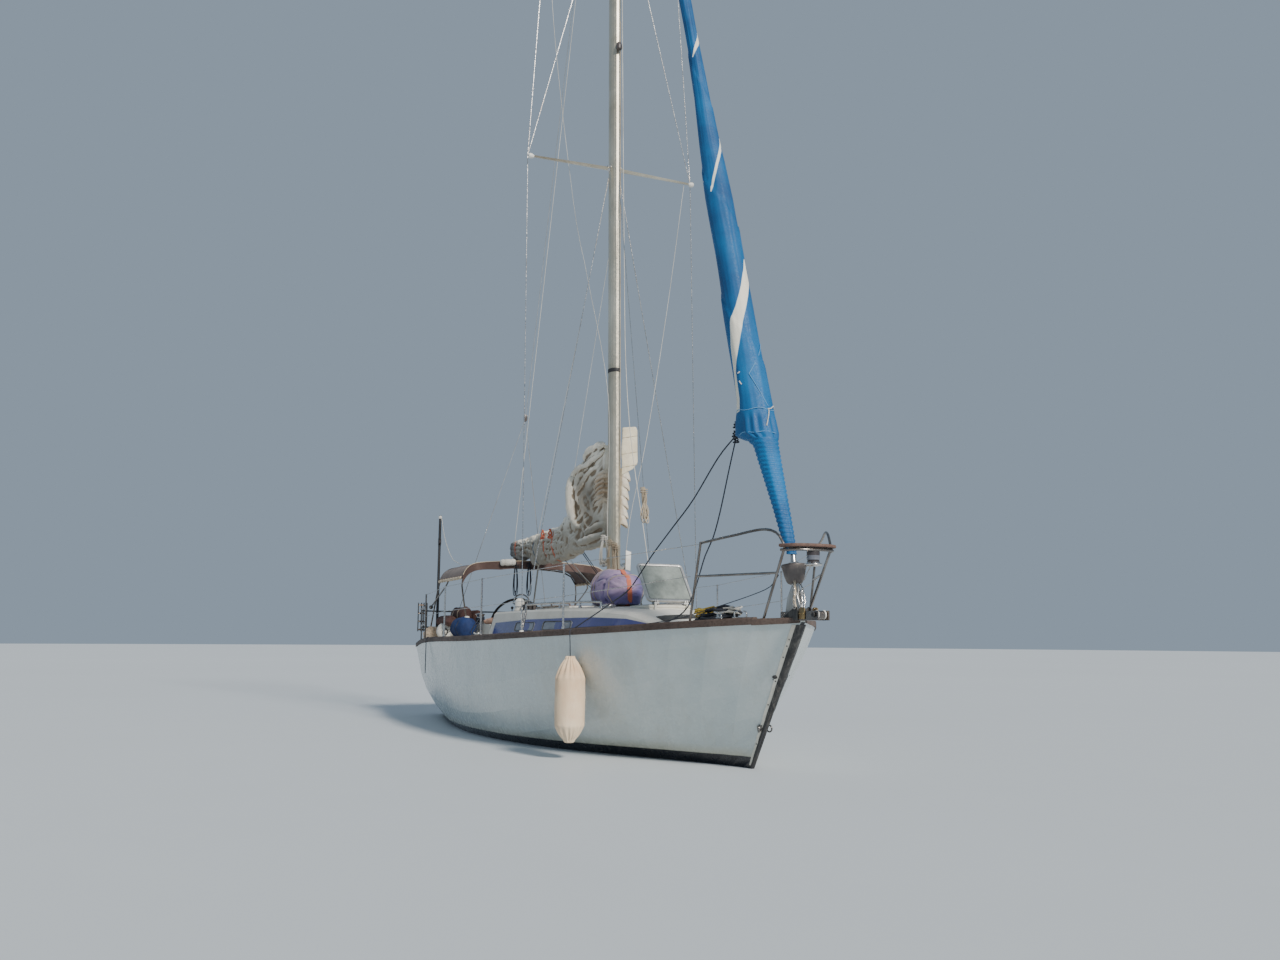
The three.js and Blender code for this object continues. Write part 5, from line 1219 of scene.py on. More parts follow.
def cleat(at, horn, leg, gap, thick=0.018, sides=12, steps=20, along=(1, 0, 0), out=(0, 0, 1)):
    """A horn cleat: its bar as (reach, height) pairs from the middle outwards, on two turned legs."""
    at, along, out = Vector(at), Vector(along), Vector(out)
    half = [(-reach, high) for reach, high in horn[:0:-1]] + horn
    bar = tube([at + along * reach + out * high for reach, high in half], thick, sides)
    return joined([bar] + [lathe(leg, at + along * dx, turn=out, steps=steps) for dx in (-gap, gap)])


nylon = finish("white_nylon", (0.66, 0.64, 0.58), (0.88, 0.86, 0.80), (0.3, 0.5), cloud=6.0, grain=80,
               bump=0.08, dirt=(0.40, 0.34, 0.24, 0.4), runs=12.0)
roller = lathe([(8, -44), (34, -44), (40, -40), (40, -34), (26, -14), (23, 0), (26, 14),
                (40, 34), (40, 40), (34, 44), (8, 44), (8, -44)], roller_at, "Y")
fit(roller, "roller_sheave", nylon, smooth=40)
pin = lathe([(0, -74), (12, -74), (14, -71), (14, -64), (7, -64), (7, 64), (14, 64), (14, 71),
             (12, 74), (0, 74)], roller_at, "Y", 20)
fit(pin, "roller_pin", dark_reflection_steel, smooth=40)
for side, label in sides:
    y = side * 0.064
    cheek = plate([(4.555, y, 1.392), (4.850, y, 1.388), (4.858, y, 1.490), (4.835, y, 1.508),
                   (4.805, y, 1.508), (4.70, y, 1.462), (4.60, y, 1.420)], (0, side * 0.012, 0), 0.004)
    fit(cheek, "stem_cheek_" + label, rubber, smooth=30)
    strap = plate([(4.875, y, 1.398), (4.965, y, 1.396), (4.970, y, 1.490), (4.945, y, 1.502),
                   (4.895, y, 1.502), (4.875, y, 1.49)], (0, side * 0.007, 0), 0.003)
    bar = plate([(4.880, y * 1.02, 1.440), (4.960, y * 1.02, 1.440), (4.960, y * 1.02, 1.452),
                 (4.880, y * 1.02, 1.452)], (0, side * 0.014, 0), 0.003)
    fit(joined([strap, bar]), "roller_strap_" + label, bronze, smooth=30)
    keeper = lathe([(0, 0), (20, 0), (22, 3), (22, 16), (18, 20), (9, 22), (0, 22)],
                   roller_at + Vector((0, side * 0.062, 0)), turn=(0, side, 0), steps=24)
    fit(keeper, "roller_cap_" + label, rubber)
    # Fairlead: a base with two horns that turn in over the rope.
    x, half, sheer = 4.30, 0.365, 1.412
    foot = plate([(x - 0.075, side * half, sheer), (x + 0.075, side * (half - 0.075), sheer),
                  (x + 0.085, side * (half - 0.045), sheer), (x - 0.065, side * (half + 0.035), sheer)],
                 (0, 0, 0.010), 0.003)
    horns = [tube([(x + dx * 0.9, side * (half - 0.02 - dx * 0.5), sheer + 0.006),
                   (x + dx, side * (half - 0.02 - dx * 0.5), sheer + 0.04),
                   (x + dx * 0.8, side * (half - 0.02 - dx * 0.45), sheer + 0.058),
                   (x + dx * 0.45, side * (half - 0.02 - dx * 0.25), sheer + 0.062)], 0.016, 10)
             for dx in (-0.062, 0.062)]
    fit(joined([foot] + horns), "bow_fairlead_" + label, steel, smooth=45)
    # A horn cleat on the foredeck, abaft the fairlead.
    horns = cleat((3.98, side * 0.40, 1.42), [(0, 0.042), (0.06, 0.046), (0.10, 0.052)],
                  [(0, -6), (20, -6), (18, 0), (10, 8), (9, 38), (0, 40)], 0.032)
    fit(horns, "bow_cleat_" + label, steel, smooth=50)

# FURLING GEAR
# A black-lipped drum turns on the forestay over a stainless fork; a webbing tack strop and a chain of
# shackles hang beside it, in front of an alloy web on the stem.

drum_axis = Vector((-0.1045, 0, 0.9945))
drum_foot = Vector((4.700, 0, 1.715))
drum_grey = finish("drum_shell", (0.075, 0.062, 0.058), (0.17, 0.145, 0.135), (0.35, 0.6), cloud=6.0, grain=60,
                   bump=0.1, dirt=(0.30, 0.26, 0.22, 0.4), runs=16.0)
bowl = lathe([(20, 0), (50, 0), (66, 8), (80, 30), (96, 80), (104, 120), (112, 150), (117, 156), (117, 172),
              (112, 178), (100, 178), (94, 170), (30, 170), (24, 180), (20, 180), (20, 0)],
             drum_foot, turn=drum_axis, steps=56)
fit(bowl, "furler_bowl", drum_grey, smooth=40)
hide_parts("furling_drum")
hub = lathe([(16, 150), (30, 150), (34, 158), (34, 176), (46, 180), (48, 186), (48, 196), (44, 200), (30, 202),
             (26, 215), (26, 262), (22, 270), (16, 272), (16, 150)], drum_foot, turn=drum_axis, steps=36)
fit(hub, "furler_hub", steel, smooth=40)
fork = []
for y in (-0.034, 0.034):
    arm = tube([(4.822, y * 0.55, 1.505), (4.812, y, 1.56), (4.772, y * 1.2, 1.66), (4.722, y * 1.25, 1.722)],
               0.014, 10)
    fork.append(arm)
toggle = lathe([(0, 0), (18, 0), (18, 30), (13, 36), (13, 80), (18, 86), (18, 110), (12, 116), (0, 116)],
               (4.816, 0, 1.545), turn=drum_axis, steps=24)
fit(joined(fork + [toggle]), "furler_fork", steel, smooth=45)
pale_alloy = finish("pale_alloy", (0.42, 0.43, 0.42), (0.66, 0.66, 0.64), (0.4, 0.6), metal=0.5, cloud=5.0,
                    grain=80, bump=0.1, dirt=(0.26, 0.22, 0.17, 0.5), runs=9.0)
strop = [(4.775, -0.052, 1.74), (4.815, -0.072, 1.70), (4.826, -0.080, 1.62), (4.818, -0.082, 1.56),
         (4.832, -0.078, 1.505)]
band("tack_strop", eased(strop, 0.02), 0.028, 0.006, cream_web, ring=False, across=(0.35, -0.9, 0.1))
shackles = []
for i, (x, z, wide) in enumerate(((4.815, 1.655, 0.020), (4.825, 1.605, 0.018), (4.812, 1.555, 0.020),
                                  (4.828, 1.512, 0.017))):
    link = [(x + wide * math.cos(t), -0.088 - 0.004 * math.sin(2 * t), z + 1.35 * wide * math.sin(t))
            for t in circle(20)]
    shackles.append(tube(link, 0.0075, 8, ring=True))
web = plate([(4.690, -0.030, 1.708), (4.800, -0.030, 1.700), (4.812, -0.030, 1.500), (4.560, -0.030, 1.415),
             (4.612, -0.030, 1.600)], (0, 0.006, 0), 0.002)
fit(web, "stem_web", pale_alloy, smooth=30)
fit(joined(shackles), "tack_shackles", steel, smooth=50)

# PULPIT RIM AND NAVIGATION LAMP
# The fore end of the pulpit is a welded ring with a varnished timber rim on it; a black navigation lamp
# hangs below it on a bright clamp, with its bracket above.

half = [(4.895, 0.262, 2.032), (4.935, 0.243, 2.031), (4.97, 0.228, 2.03), (5.01, 0.205, 2.03),
        (5.035, 0.17, 2.03), (5.052, 0.13, 2.03), (5.063, 0.07, 2.03)]
rim_line = eased([(x, -y, z) for x, y, z in half] + [(5.065, 0, 2.03)] + half[::-1], 0.02)
varnish = timber("varnished_rim", (0.10, 0.055, 0.042), (0.21, 0.125, 0.095))
rows = []
for i, p in enumerate(rim_line):
    along = (rim_line[min(i + 1, len(rim_line) - 1)] - rim_line[max(i - 1, 0)]).normalized()
    side = along.cross(Vector((0, 0, 1)))
    rows.append([p + side * a + Vector((0, 0, b))
                 for a, b in ((-.028, .000), (-.032, .010), (-.026, .024), (0, .028), (.026, .024),
                              (.032, .010), (.028, .000), (0, -.006))])
fit(skin(rows), "pulpit_rim", varnish, smooth=50)
under = tube([p + Vector((0, 0, -0.028)) for p in rim_line], 0.025, 10)
fit(under, "pulpit_lower_ring", dark_reflection_steel, smooth=60)
lamp_black = finish("lamp_black", (0.020, 0.018, 0.020), (0.065, 0.055, 0.058), (0.25, 0.5), grain=60, bump=0.1,
                    dirt=(0.25, 0.20, 0.17, 0.4))
at = Vector((5.012, 0, 1.885))
body = lathe([(0, 0), (52, 0), (56, 4), (56, 20), (51, 24), (51, 30), (56, 34), (58, 70), (58, 105), (52, 112),
              (30, 116), (0, 117)], at)
fit(body, "bow_lamp_body", lamp_black)
clamp = lathe([(0, -26), (50, -26), (74, -20), (79, -14), (79, -6), (74, 0), (60, 4), (56, 10), (0, 12)],
              at)
arm = tube([(5.012, 0.05, 1.99), (5.03, 0.10, 2.005), (5.05, 0.13, 2.015)], 0.014, 10)
brace = tube([(4.965, 0, 1.862), (4.90, 0, 1.80), (4.855, 0, 1.745)], 0.010, 8)
fit(joined([clamp, arm, brace]), "bow_lamp_clamp", steel, smooth=40)
lens = lathe([(57.5, 30), (59.5, 40), (59.5, 62), (57.5, 72), (55.5, 62), (55.5, 40), (57.5, 30)], at)
fit(lens, "bow_lamp_lens", smoky)

# CABIN WINDOWS
# Two fixed panes a side, in a band of tinted acrylic: grey glass shows behind each opening, in a thin
# black gasket held by an alloy frame with domed screws.

pane_grey = finish("pane_grey", (0.10, 0.115, 0.15), (0.24, 0.26, 0.31), (0.04, 0.12), cloud=3.0, grain=40,
                   bump=0.01, coat=0.6, dirt=(0.30, 0.30, 0.34, 0.3), runs=7.0)
frame_alloy = finish("window_alloy", (0.30, 0.30, 0.31), (0.52, 0.52, 0.52), (0.3, 0.5), metal=0.9, cloud=5.0,
                     grain=70, bump=0.06, dirt=(0.2, 0.18, 0.15, 0.4))


def rounded_box(low_u, high_u, low_v, high_v, corner, parts=6):
    """A rounded rectangle as (u, v) pairs."""
    made = []
    for u, v, start in ((high_u - corner, high_v - corner, 0), (low_u + corner, high_v - corner, 90),
                        (low_u + corner, low_v + corner, 180), (high_u - corner, low_v + corner, 270)):
        made += [(u + corner * math.cos(math.radians(start + k * 90 / parts)),
                  v + corner * math.sin(math.radians(start + k * 90 / parts))) for k in range(parts + 1)]
    return made


def hoop(rings):
    """A closed ring-shaped solid through loops of points, the last joined to the first."""
    return sealed(skin(rings + [rings[0]], ends=False))


def grown(p, middle, by):
    """A point of an opening's edge, moved outwards in the face of the window."""
    return p + (p - middle).normalized() * by


for side, label in sides:
    band_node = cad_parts["window_band_" + label]
    for i, (x0, x1, z0, z1) in enumerate(((-0.64, -0.04, 1.303, 1.406), (0.24, 0.98, 1.313, 1.414))):
        line = []
        for x, z in rounded_box(x0, x1, z0, z1, 0.032):
            met, spot, out, face = band_node.ray_cast(Vector((x, side * 2, z)), Vector((0, -side, 0)))
            line.append(spot)
        middle, out = sum(line, Vector()) / len(line), Vector((0.11, side * 0.96, 0.27)).normalized()
        pane = skin([[p.lerp(middle, 0.02) - out * 0.004 for p in line],
                     [p.lerp(middle, 0.02) + out * 0.002 for p in line],
                     [p.lerp(middle, 0.10) + out * 0.004 for p in line]])
        fit(pane, "window_pane_%s_%d" % (label, i + 1), pane_grey, smooth=30)
        fit(tube([p + out * 0.003 for p in line], 0.012, 8, ring=True), "window_gasket_%s_%d" % (label, i + 1),
            rubber, smooth=60)

        rim = hoop([[grown(p, middle, a) + out * b for p in line]
                    for a, b in ((.005, -.003), (.005, .004), (.008, .006), (.020, .006), (.023, .004),
                                 (.023, -.003))])
        heads = [rim] + [screw(grown(line[k], middle, 0.014) + out * 0.006, out, 0.009, 0.002)
                         for k in range(3, 28, 7)]
        fit(joined(heads), "window_frame_%s_%d" % (label, i + 1), frame_alloy, smooth=30)

# FOREHATCH
# A smoke-grey acrylic lens in a cast alloy frame with rounded corners, on two hinges and a friction stay;
# it stands open on a moulded coaming that has a dark rubber seal.

hinge_at, along_lid = Vector((2.054, 0, 1.634)), Vector((-0.334, 0, 0.427)).normalized()
proud_lid = Vector((along_lid.z, 0, -along_lid.x))


def on_lid(run, y, lift):
    """A place on the open lid: run from its hinge, y across, lift out of its upper face."""
    return hinge_at + along_lid * run + Vector((0, y, 0)) + proud_lid * lift


def lid_ring(inset, lift, corner):
    return [on_lid(run, y, lift)
            for run, y in rounded_box(inset, 0.556 - inset, -0.288 + inset, 0.288 - inset, corner, 8)]


cast_alloy = finish("cast_alloy", (0.42, 0.42, 0.42), (0.72, 0.71, 0.69), (0.3, 0.5), metal=0.9, cloud=5.0,
                    grain=90, bump=0.12, dirt=(0.28, 0.27, 0.25, 0.5), runs=9.0)
lid_frame = hoop([lid_ring(a, b, max(0.012, 0.055 - a))
                  for a, b in ((.000, -.028), (.000, -.004), (.004, .000), (.020, .000), (.030, -.003),
                               (.036, -.009), (.036, -.024), (.030, -.032), (.004, -.032))])
fit(lid_frame, "forehatch_frame", cast_alloy, "fore_hatch_body", 35)
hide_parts("fore_hatch_lid")
smoke = finish("smoke_acrylic", (0.14, 0.16, 0.145), (0.36, 0.40, 0.37), (0.04, 0.16), cloud=3.5, grain=30,
               bump=0.015, coat=0.7, dirt=(0.48, 0.50, 0.44, 0.5), runs=3.0)
panes = skin([lid_ring(0.035, -0.020, 0.022), lid_ring(0.035, -0.008, 0.022), lid_ring(0.040, -0.006, 0.020),
              lid_ring(0.12, -0.004, 0.02)])
fit(panes, "forehatch_lens", smoke, "fore_hatch_body", 30)
seal = tube(lid_ring(0.034, -0.007, 0.024), 0.007, 8, ring=True)
fit(seal, "forehatch_lens_seal", rubber, "fore_hatch_body", 60)
knuckles = []
for y in (-0.182, 0.182):
    knuckles.append(lathe([(0, -30), (11, -30), (13, -28), (13, 28), (11, 30), (0, 30)], (2.050, y, 1.608), "Y",
                          20))
    for dy in (-0.016, 0.016):
        arm = plate([(2.050, y + dy, 1.598), (2.062, y + dy, 1.604), (2.060, y + dy, 1.632),
                     (2.035, y + dy, 1.664), (2.022, y + dy, 1.654), (2.040, y + dy, 1.622)],
                    (0, 0.008 if dy < 0 else -0.008, 0), 0.002)
        knuckles.append(arm)
fit(joined(knuckles), "forehatch_hinges", cast_alloy, "fore_hatch_body", 35)
grips = []
for y in (-0.150, 0.150):
    foot = on_lid(0.46, y, -0.034)
    grips.append(lathe([(0, 0), (16, 0), (18, 4), (18, 10), (10, 16), (10, 28), (0, 30)], foot, turn=-proud_lid,
                       steps=24))
    grips.append(tube([on_lid(0.46, y, -0.060), on_lid(0.43, y + 0.012, -0.063),
                       on_lid(0.385, y + 0.02, -0.058)], 0.013, 10))
fit(joined(grips), "forehatch_grips", rubber, "fore_hatch_body", 45)
stay = [on_lid(0.27, -0.225, -0.030), on_lid(0.20, -0.225, -0.055), Vector((1.76, -0.225, 1.68)),
        Vector((1.72, -0.225, 1.604))]
ends = [lathe([(0, -8), (12, -8), (12, 8), (0, 8)], p, "Y", 20) for p in (stay[0], stay[-1])]
folding = fit(joined([tube(eased(stay, 0.02), 0.009, 10)] + ends), "forehatch_stay", steel, None, 45)
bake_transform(folding)
seal = [(x, y, 1.5885) for x, y in rounded_box(1.512, 2.018, -0.238, 0.238, 0.035)]
fit(tube(seal, 0.012, 8, ring=True), "coaming_seal", rubber, smooth=60)
lip = [[(x, y, z) for x, y in rounded_box(1.488 - a, 2.036 + a, -0.262 - a, 0.262 + a, 0.02)] for a, z in
       ((0.000, 1.560), (0.004, 1.560), (0.006, 1.566), (0.006, 1.578), (0.004, 1.584), (0.000, 1.584))]
fit(hoop(lip), "coaming_lip", pale_gelcoat_and_highlight)
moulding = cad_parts["deck"]


def on_deck(x, y):
    """The deck's upper face at this place, and its outward direction."""
    met, spot, out, face = moulding.ray_cast(Vector((x, y, 3)), Vector((0, 0, -1)))
    return spot, out


# A dark rubber strip across the front slope of the roof ahead of the hatch: painted shade, a dark sheet where
# the roof's front lies in shadow.
rows = []
for x in evenly(2.44, 2.64, 8):
    places = [on_deck(x, y) for y in evenly(-0.36, 0.36, 14)]
    rows.append([spot + out * 0.002 for spot, out in places])
fit(shell(rows, 0.006), "foredeck_shade_strip", rubber)

# COACHROOF FITTINGS
# Handrails on turned feet, a domed vent and two mushroom vents; teak-capped runners, slats and a grip
# for the sliding hatch, and three jammers a side at the after edge of the roof.

for side, label in sides:
    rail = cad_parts["handrail_" + label]
    feet = []
    for x in (-0.90, -0.35, 0.20, 0.75, 1.25):
        near = [v.co for v in rail.data.vertices if abs(v.co.x - x) < 0.02 and v.co.z < 1.60]
        if near:
            y = sum(p.y for p in near) / len(near)
            z = min(p.z for p in near)
            feet.append(lathe([(9, 30), (13, 24), (18, 12), (26, 6), (27, 0), (9, -2)], (x, y, z + 0.006),
                              steps=24))
    if feet:
        fit(joined(feet), "handrail_feet_" + label, steel, smooth=45)
shell_vent = lathe([(0, 0), (78, 0), (80, 4), (78, 16), (66, 22), (64, 60), (65, 110), (58, 146), (40, 166),
                    (18, 173), (0, 174)], on_deck(-1.50, -0.655)[0], steps=48)
collar = lathe([(66, 48), (70, 50), (70, 60), (66, 62), (63, 55), (66, 48)], on_deck(-1.50, -0.655)[0],
               steps=48)
fit(shell_vent, "domed_vent", nylon, smooth=40)
fit(collar, "domed_vent_collar", steel, smooth=40)
for x, y, label in ((1.42, -0.50, "stbd"), (-0.20, 0.0, "mid")):
    vent = lathe([(0, 0), (75, 0), (78, 4), (74, 10), (50, 12), (50, 20), (78, 22), (84, 28), (80, 38),
                  (55, 50), (20, 55), (0, 56)], on_deck(x, y)[0] - Vector((0, 0, 0.003)), steps=48)
    fit(vent, "mushroom_vent_" + label, steel, smooth=40)
for side, label in sides:
    cap = plate([(-1.70, side * 0.302, 1.626), (-0.62, side * 0.302, 1.628), (-0.62, side * 0.362, 1.628),
                 (-1.70, side * 0.362, 1.626)], (0, 0, 0.010), 0.003)
    fit(cap, "hatch_rail_cap_" + label, teak, smooth=30)
grip = tube(eased([(-1.655, -0.14, 1.650), (-1.655, -0.135, 1.690), (-1.655, -0.09, 1.700),
                   (-1.655, 0.09, 1.700), (-1.655, 0.135, 1.690), (-1.655, 0.14, 1.650)], 0.015), 0.020, 12)
feet = [lathe([(0, 0), (20, 0), (22, 3), (20, 10), (10, 14), (0, 14)], (-1.655, y, 1.6476), steps=24)
        for y in (-0.14, 0.14)]
fit(joined([grip] + feet), "sliding_hatch_grip", varnish, "sliding_hatch_body", 50)
slats = []
for k in range(6):
    y = -0.275 + 0.11 * k
    slats.append(board(-1.60, -1.03, y - 0.045, y + 0.045, 1.6478, 0.007))
fit(joined(slats), "sliding_hatch_slats", teak, "sliding_hatch_body", 30)
jammers = []
for side in (-1, 1):
    for k in range(3):
        y = side * (0.52 + 0.06 * k)
        jammers.append(plate([(-1.42, y - 0.024, 1.596), (-1.42, y - 0.024, 1.632), (-1.36, y - 0.024, 1.668),
                              (-1.27, y - 0.024, 1.662), (-1.25, y - 0.024, 1.632), (-1.25, y - 0.024, 1.596)],
                             (0, 0.048, 0), 0.006))
        jammers.append(plate([(-1.40, y - 0.010, 1.655), (-1.30, y - 0.010, 1.672), (-1.20, y - 0.010, 1.690),
                              (-1.20, y - 0.010, 1.682), (-1.30, y - 0.010, 1.660), (-1.40, y - 0.010, 1.640)],
                             (0, 0.020, 0), 0.003))
fit(joined(jammers), "halyard_jammers", lamp_black, smooth=30)

# COCKPIT
# Loose teak slats on the seats and a grating on the sole; the wheel has a leather-bound rim and a
# binnacle compass stands on the pedestal, with an engine lever beside it. Winches and cleats flank it.

binnacle, hub_at = (-3.50, 0, 1.7255), (-3.66, 0, 1.37)


def deck_top(x, y):
    half, sheer = deck_edge(x)
    return sheer + 0.022 + 0.055 * (half / 1.7) * (1 - (y / half) ** 2)


for side, label in sides:
    boards = []
    for k in range(8):
        y = side * (0.385 + 0.066 * k)
        rows = []
        for x in (-3.36, -1.90):
            z = deck_top(x, y)
            rows.append([(x, y + dy, z + dz)
                         for dy, dz in ((-0.028, 0.003), (-0.028, 0.015), (-0.025, 0.018), (0.025, 0.018),
                                        (0.028, 0.015), (0.028, 0.003))])
        boards.append(skin(rows))
    fit(joined(boards), "seat_slats_" + label, teak, smooth=30)
boards = []
for k in range(9):
    y = -0.28 + 0.07 * k
    boards.append(board(-3.36, -1.83, y - 0.024, y + 0.024, 0.700, 0.016))
for k in range(7):
    x = -3.30 + 0.24 * k
    boards.append(board(x, x + 0.05, -0.31, 0.31, 0.692, 0.009, 0.002))
fit(joined(boards), "sole_grating", teak, smooth=30)
cap = lathe([(0, 0), (112, 0), (118, 6), (118, 16), (108, 24), (104, 36), (96, 40), (88, 40), (88, 34),
             (0, 34)], binnacle, steps=56)
fit(cap, "compass_bowl", lamp_black)
dome = lathe([(86, 34), (82, 54), (68, 80), (45, 98), (20, 106), (0, 107), (0, 36), (86, 34)], binnacle,
             steps=48)
fit(dome, "compass_dome", smoke, smooth=60)
hoop_line = [(-3.50, 0.135 * math.cos(t), 1.735 + 0.15 * math.sin(t)) for t in evenly(0, math.pi, 20)]
fit(tube(hoop_line, 0.022, 12), "compass_guard", steel, smooth=60)
boss = lathe([(0, 0), (45, 0), (48, 4), (48, 12), (30, 18), (26, 30), (0, 32)], (-3.50, -0.112, 1.45),
             turn=(0, -1, 0.05), steps=32)
lever = tube(eased([(-3.50, -0.150, 1.45), (-3.47, -0.165, 1.52), (-3.45, -0.168, 1.60), (-3.44, -0.168, 1.66)],
                   0.02), 0.014, 10)
knob = lathe([(0, 0), (12, 2), (20, 14), (22, 28), (16, 42), (0, 46)], (-3.44, -0.168, 1.650), steps=24)
fit(joined([boss, lever, knob]), "engine_lever", lamp_black, smooth=50)
leather = finish("wheel_leather", (0.030, 0.022, 0.018), (0.085, 0.062, 0.050), (0.4, 0.65), cloud=6.0,
                 grain=120, bump=0.5)
wrap = []
for k in range(96):
    t = k * 2 * math.pi / 96
    line = []
    swell = 0.0185 + 0.0012 * abs(math.sin(k * math.pi / 4))
    for s in circle(12):
        r = 0.446 + swell * math.cos(s)
        line.append((hub_at[0] + swell * math.sin(s), r * math.cos(t), hub_at[2] + r * math.sin(t)))
    wrap.append(line)
fit(hoop(wrap), "wheel_leather_rim", leather, "wheel_body", 50)
hub = lathe([(0, 0), (50, 0), (56, 5), (56, 14), (46, 20), (24, 22), (20, 30), (0, 32)], (-3.690, 0, 1.37),
            turn=(-1, 0, 0))
fit(hub, "wheel_hub_cap", steel, "wheel_body", 40)
for side, label in sides:
    at = Vector((-2.45, side * 0.948, 1.5525))
    head = lathe([(0, 0), (36, 0), (40, 4), (40, 10), (36, 13), (18, 13), (16, 6), (0, 6)], at, steps=36)
    jaw = lathe([(46, -16), (66, -16), (70, -10), (70, -4), (66, 0.5), (46, 0.5), (44, -8), (46, -16)], at,
                steps=48)
    fit(joined([head, jaw]), "winch_top_" + label, steel)
    turns = []
    for k in range(4 * 28 + 1):
        t = k * 2 * math.pi / 28
        turns.append((at.x + 0.060 * math.cos(t), at.y + side * 0.060 * math.sin(t), 1.448 + 0.0135 * k / 28))
    rope("winch_turns_" + label, turns, 0.013, dark_line, sides=8)
    for x in (-4.30, -0.20):
        half, sheer = deck_edge(x)
        y = side * (half - 0.075)
        z = deck_top(x, abs(y))
        horns = cleat((x, y, z), [(0, 0.048), (0.06, 0.052), (0.105, 0.060)],
                      [(0, -4), (22, -4), (19, 2), (10, 10), (9, 46), (0, 48)], 0.034)
        fit(horns, "deck_cleat_%s_%s" % (label, "aft" if x < -4 else "mid"), nylon if x > -4 else steel,
            smooth=50)

# STANCHION FEET, CHAINPLATES AND TURNBUCKLES
# Cast sockets screwed to the side deck; stainless turnbuckles at the foot of shrouds and backstay,
# over chainplates with white plastic boots, and the block that the backstay's bridle runs through.

for side, label in sides:
    feet = []
    for x in (2.200, 0.030, -1.900):
        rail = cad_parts["lifelines_" + label].data.vertices
        posts = [v.co for v in rail if abs(v.co.x - x) < 0.03 and v.co.z < 1.45]
        y = sum(p.y for p in posts) / len(posts) if posts else side * (deck_edge(x)[0] - 0.06)
        z = deck_top(x, abs(y))
        feet.append(lathe([(0, 0), (42, 0), (44, 3), (40, 9), (22, 14), (19, 22), (18, 62), (15, 66),
                           (12.5, 66), (12.5, 20), (0, 20)], (x, y, z - 0.003), steps=32))
        feet += [screw((x + 0.031 * dx, y + 0.031 * dy, z + 0.004), (0, 0, 1), 0.010, 0.003)
                 for dx, dy in ((1, 0), (-1, 0), (0, 1), (0, -1))]
    fit(joined(feet), "stanchion_feet_" + label, steel)
    chain = Vector((0.293, side * 1.185, 1.252))
    shroud_tops = [(chain, Vector((0.293 - 0.07, side * 1.164, 7.43))),
                   (chain, Vector((0.25, side * 0.09, 7.30)))]
    bodies = []
    for low_end, top_end in shroud_tops:
        way = (top_end - low_end).normalized()
        bodies.append(lathe([(0, 0), (10, 2), (10, 24), (15, 28), (17, 40), (14, 52), (14, 170), (17, 182),
                             (15, 194), (9, 198), (7.5, 250), (5, 256), (0, 256)], low_end + way * 0.07,
                            turn=way, steps=20))
    fit(joined(bodies), "shroud_turnbuckles_" + label, steel, smooth=40)
    boot = lathe([(0, 0), (50, 0), (52, 4), (46, 12), (30, 22), (26, 60), (22, 66), (0, 66)],
                 (chain.x, chain.y, deck_top(chain.x, abs(chain.y)) - 0.003), steps=32)
    fit(boot, "chainplate_boot_" + label, nylon, smooth=40)
    foot = Vector((-4.660, side * 0.860, 1.13))
    apex = Vector((-3.495, 0, 4.70))
    way = (apex - foot).normalized()
    cone = lathe([(0, 0), (8, 2), (8, 40), (16, 52), (19, 80), (19, 190), (16, 210), (9, 224), (7.5, 300),
                  (5, 306), (0, 306)], foot + way * 0.07, turn=way, steps=20)
    fit(cone, "backstay_turnbuckle_" + label, dark_reflection_steel, smooth=40)
bridle = [plate([(x, -0.016, 4.640), (x, 0.016, 4.640), (x, 0.026, 4.670), (x, 0.026, 4.715), (x, 0.012, 4.750),
                 (x, -0.012, 4.750), (x, -0.026, 4.715), (x, -0.026, 4.670)], (0.006, 0, 0), 0.002)
          for x in (-3.518, -3.478)]
bridle.append(lathe([(0, -18), (20, -18), (17, 0), (20, 18), (0, 18)], (-3.495, 0, 4.690), "X", 24))
fit(joined(bridle), "backstay_bridle_block", lamp_black)

# MAST FITTINGS
# Halyard winches, horn cleats, bands of tape, the gooseneck, and the blocks of vang and mainsheet; a
# white chafe panel and hanks of line hang low down. Spreader boots and a lamp stand above.

mast_long, mast_wide = 0.110, 0.075
collar = [[(0.343 + (0.116 + a) * math.cos(t), (0.081 + a) * math.sin(t), z) for t in circle(48)]
          for a, z in ((0.0, 1.640), (0.034, 1.640), (0.038, 1.646), (0.036, 1.656), (0.010, 1.672),
                       (0.002, 1.720), (0.000, 1.724), (-0.004, 1.70))]
fit(hoop(collar), "mast_boot", nylon, smooth=40)


def mast_face(z, degrees):
    """A place on the mast's face at this height and angle round it from ahead, and its outward direction."""
    c, s = math.cos(math.radians(degrees)), math.sin(math.radians(degrees))
    out = Vector((c / mast_long, s / mast_wide, 0)).normalized()
    return Vector((mast_x(z) + mast_long * c, mast_wide * s, z)), out


def small_winch(at, out):
    """A drum winch standing out from a spar, with its turned flanges and drive socket."""
    return lathe([(0, 0), (50, 0), (52, 4), (52, 14), (44, 20), (34, 30), (31, 55), (35, 78), (45, 88),
                  (47, 94), (45, 100), (30, 103), (12, 103), (10, 94), (0, 94)], at, turn=out, steps=36)


